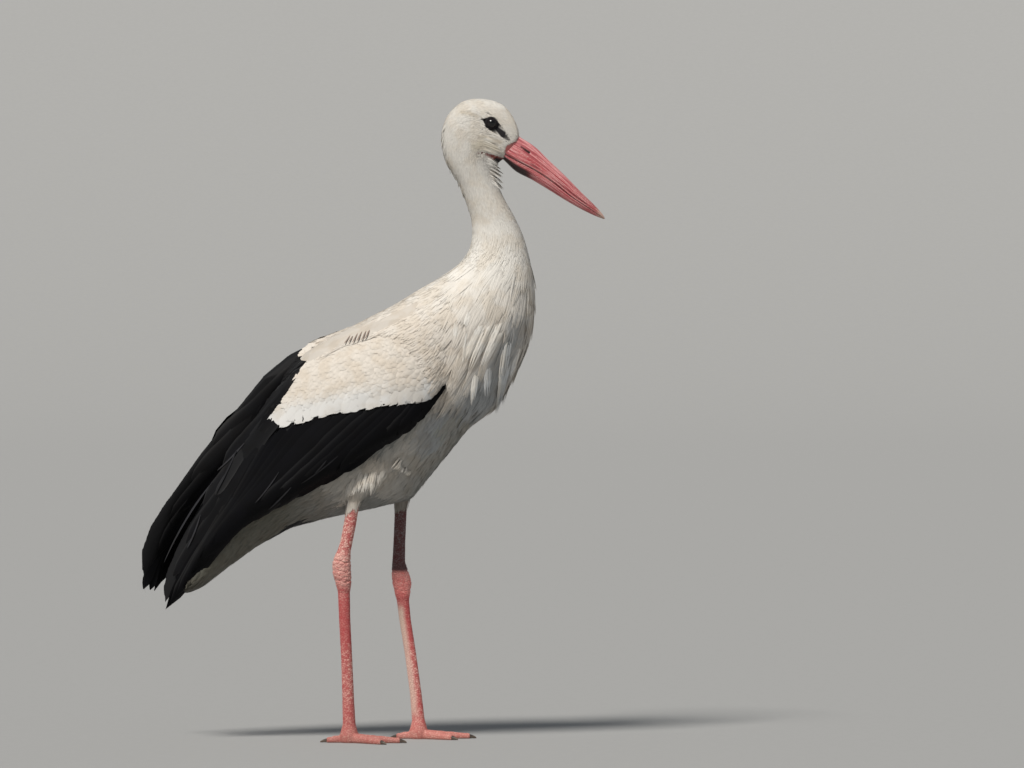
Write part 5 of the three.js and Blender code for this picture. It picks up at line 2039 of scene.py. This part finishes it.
def leg_colour(side, points, normals, plate, own, fold, hock):
    """Red skin, chalky plates, dusty toes, and painted light and shadow on the left leg.
    plate: 1 on a plate. own: whose plate. fold: 1 on the hock.
    """
    height = points[:, 2]
    chalky = 0.45 * ramp(height, 0.2, 0.3) + 0.34
    chalky += 0.2 * ramp(height, 0.045, 0.075) * ramp(height, 0.15, 0.115)
    chalky -= 0.14 * ramp(height, 0.125, 0.155) * ramp(height, 0.215, 0.2)
    chalky += (0.22 if side == "right" else 0.0) * fold
    patches = rng.random(own.max() + 1)[own]
    patches = patches + (0.45 - patches) * 0.6 * fold
    pale = np.clip(chalky * (plate + (1 - plate) * fold * 0.7) * (0.2 + 1.15 * patches), 0, 0.95)
    colour = blended(LEG_RED, LEG_PALE, pale) * (0.8 + 0.2 * plate[:, None])
    colour = blended(colour, LEG_DUST, 0.45 * ramp(height, 0.045, 0.0))
    if side == "left":  # this leg is paler behind; below the hock it is painted light, and its bare shank painted shadow
        behind = ramp(-normals[:, 0], -0.35, 0.35) * ramp(height, hock[0], hock[0] - 0.02)
        behind *= ramp(height, 0.025, 0.045) * (0.62 + 0.2 * ramp(height, 0.12, 0.17))
        colour = blended(colour, PALE_BACK * (0.8 + 0.2 * plate[:, None]), behind)
        # painted light below the hock, most on the hock itself; above it the shank is darkened as the body's
        # painted shadow
        painted_light = np.array([1.2, 1.25, 1.25]) * (1 + 0.35 * fold[:, None])
        painted_shadow = ramp(height, hock[1] - 0.014, hock[1] - 0.008)
        colour = blended(colour * painted_light, colour * SHANK_PAINTED_SHADOW, painted_shadow)
    return colour


# %% Put a leg together
def leg_mesh(side):
    """One leg and foot with plates, folds and colours."""
    names = [f"{part}_{side}" for part in LEG_PARTS] + [f"toe_{side}_{toe}" for toe in TOES]
    mesh, points = melted(names, 0.0007, LEG_VOXEL, 14)
    move_points(mesh, points)
    normals = normals_of(mesh)
    own, lead = plate_cells(points, even_seeds(points, PLATE_GAP))
    plate = ramp(lead, 0.0, 0.0011)
    low, high = (corner.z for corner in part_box(f"hock_{side}"))
    fold = ramp(points[:, 2], low - 0.004, low + 0.012)
    fold *= ramp(points[:, 2], high + 0.006, high - 0.01)
    raised = PLATE_HEIGHT * plate * (1 - 0.3 * fold) + fold * hock_folds(points, low, high)
    points = points + normals * raised[:, None]
    points[:, 2] = np.maximum(points[:, 2], 0.0003)
    move_points(mesh, points)
    set_tint(mesh, leg_colour(side, points, normals, plate, own, fold, (low, high)))
    return mesh, names


for side in SIDES:
    made, replaced_names = leg_mesh(side)
    add_piece(f"leg_{side}", made, leg_finish.material, replaced_names)

# %% [markdown]
# ## The claws
# Short blunt claws of dark horn end the toes. They are the CAD claws melted and smoothed, with paler tips.

# %% Claws
CLAW_VOXEL = 0.00055
CLAW_DARK = np.array([0.035, 0.026, 0.022])
CLAW_TIP = np.array([0.16, 0.12, 0.09])
claw_finish = Finish("claw_horn", Specular_IOR_Level=0.5)
horn = claw_finish.grain(900.0, 3.0, 0.6, (0.5, 0.45, 0.4, 1))
claw_finish.feed("Roughness", 0.3 + 0.25 * horn)
claw_finish.bump(horn, 0.3, 0.0002)
for side in SIDES:
    claw_names = [f"claw_{side}_{toe}" for toe in TOES]
    claw_mesh, claw_points = melted(claw_names, 0.0002, CLAW_VOXEL, 3)
    claw_points[:, 2] = np.maximum(claw_points[:, 2], 0.0002)
    move_points(claw_mesh, claw_points)
    claw_mesh.shade_smooth()
    set_tint(claw_mesh, blended(CLAW_DARK, CLAW_TIP, ramp(claw_points[:, 2], 0.006, 0.001)))
    add_piece(f"claws_{side}", claw_mesh, claw_finish.material, claw_names)

# %% [markdown]
# ## Done
# The finished bird has to stay inside the imported model's box, give or take the softness of a feather.

# %% Finish
print("the bird is built")
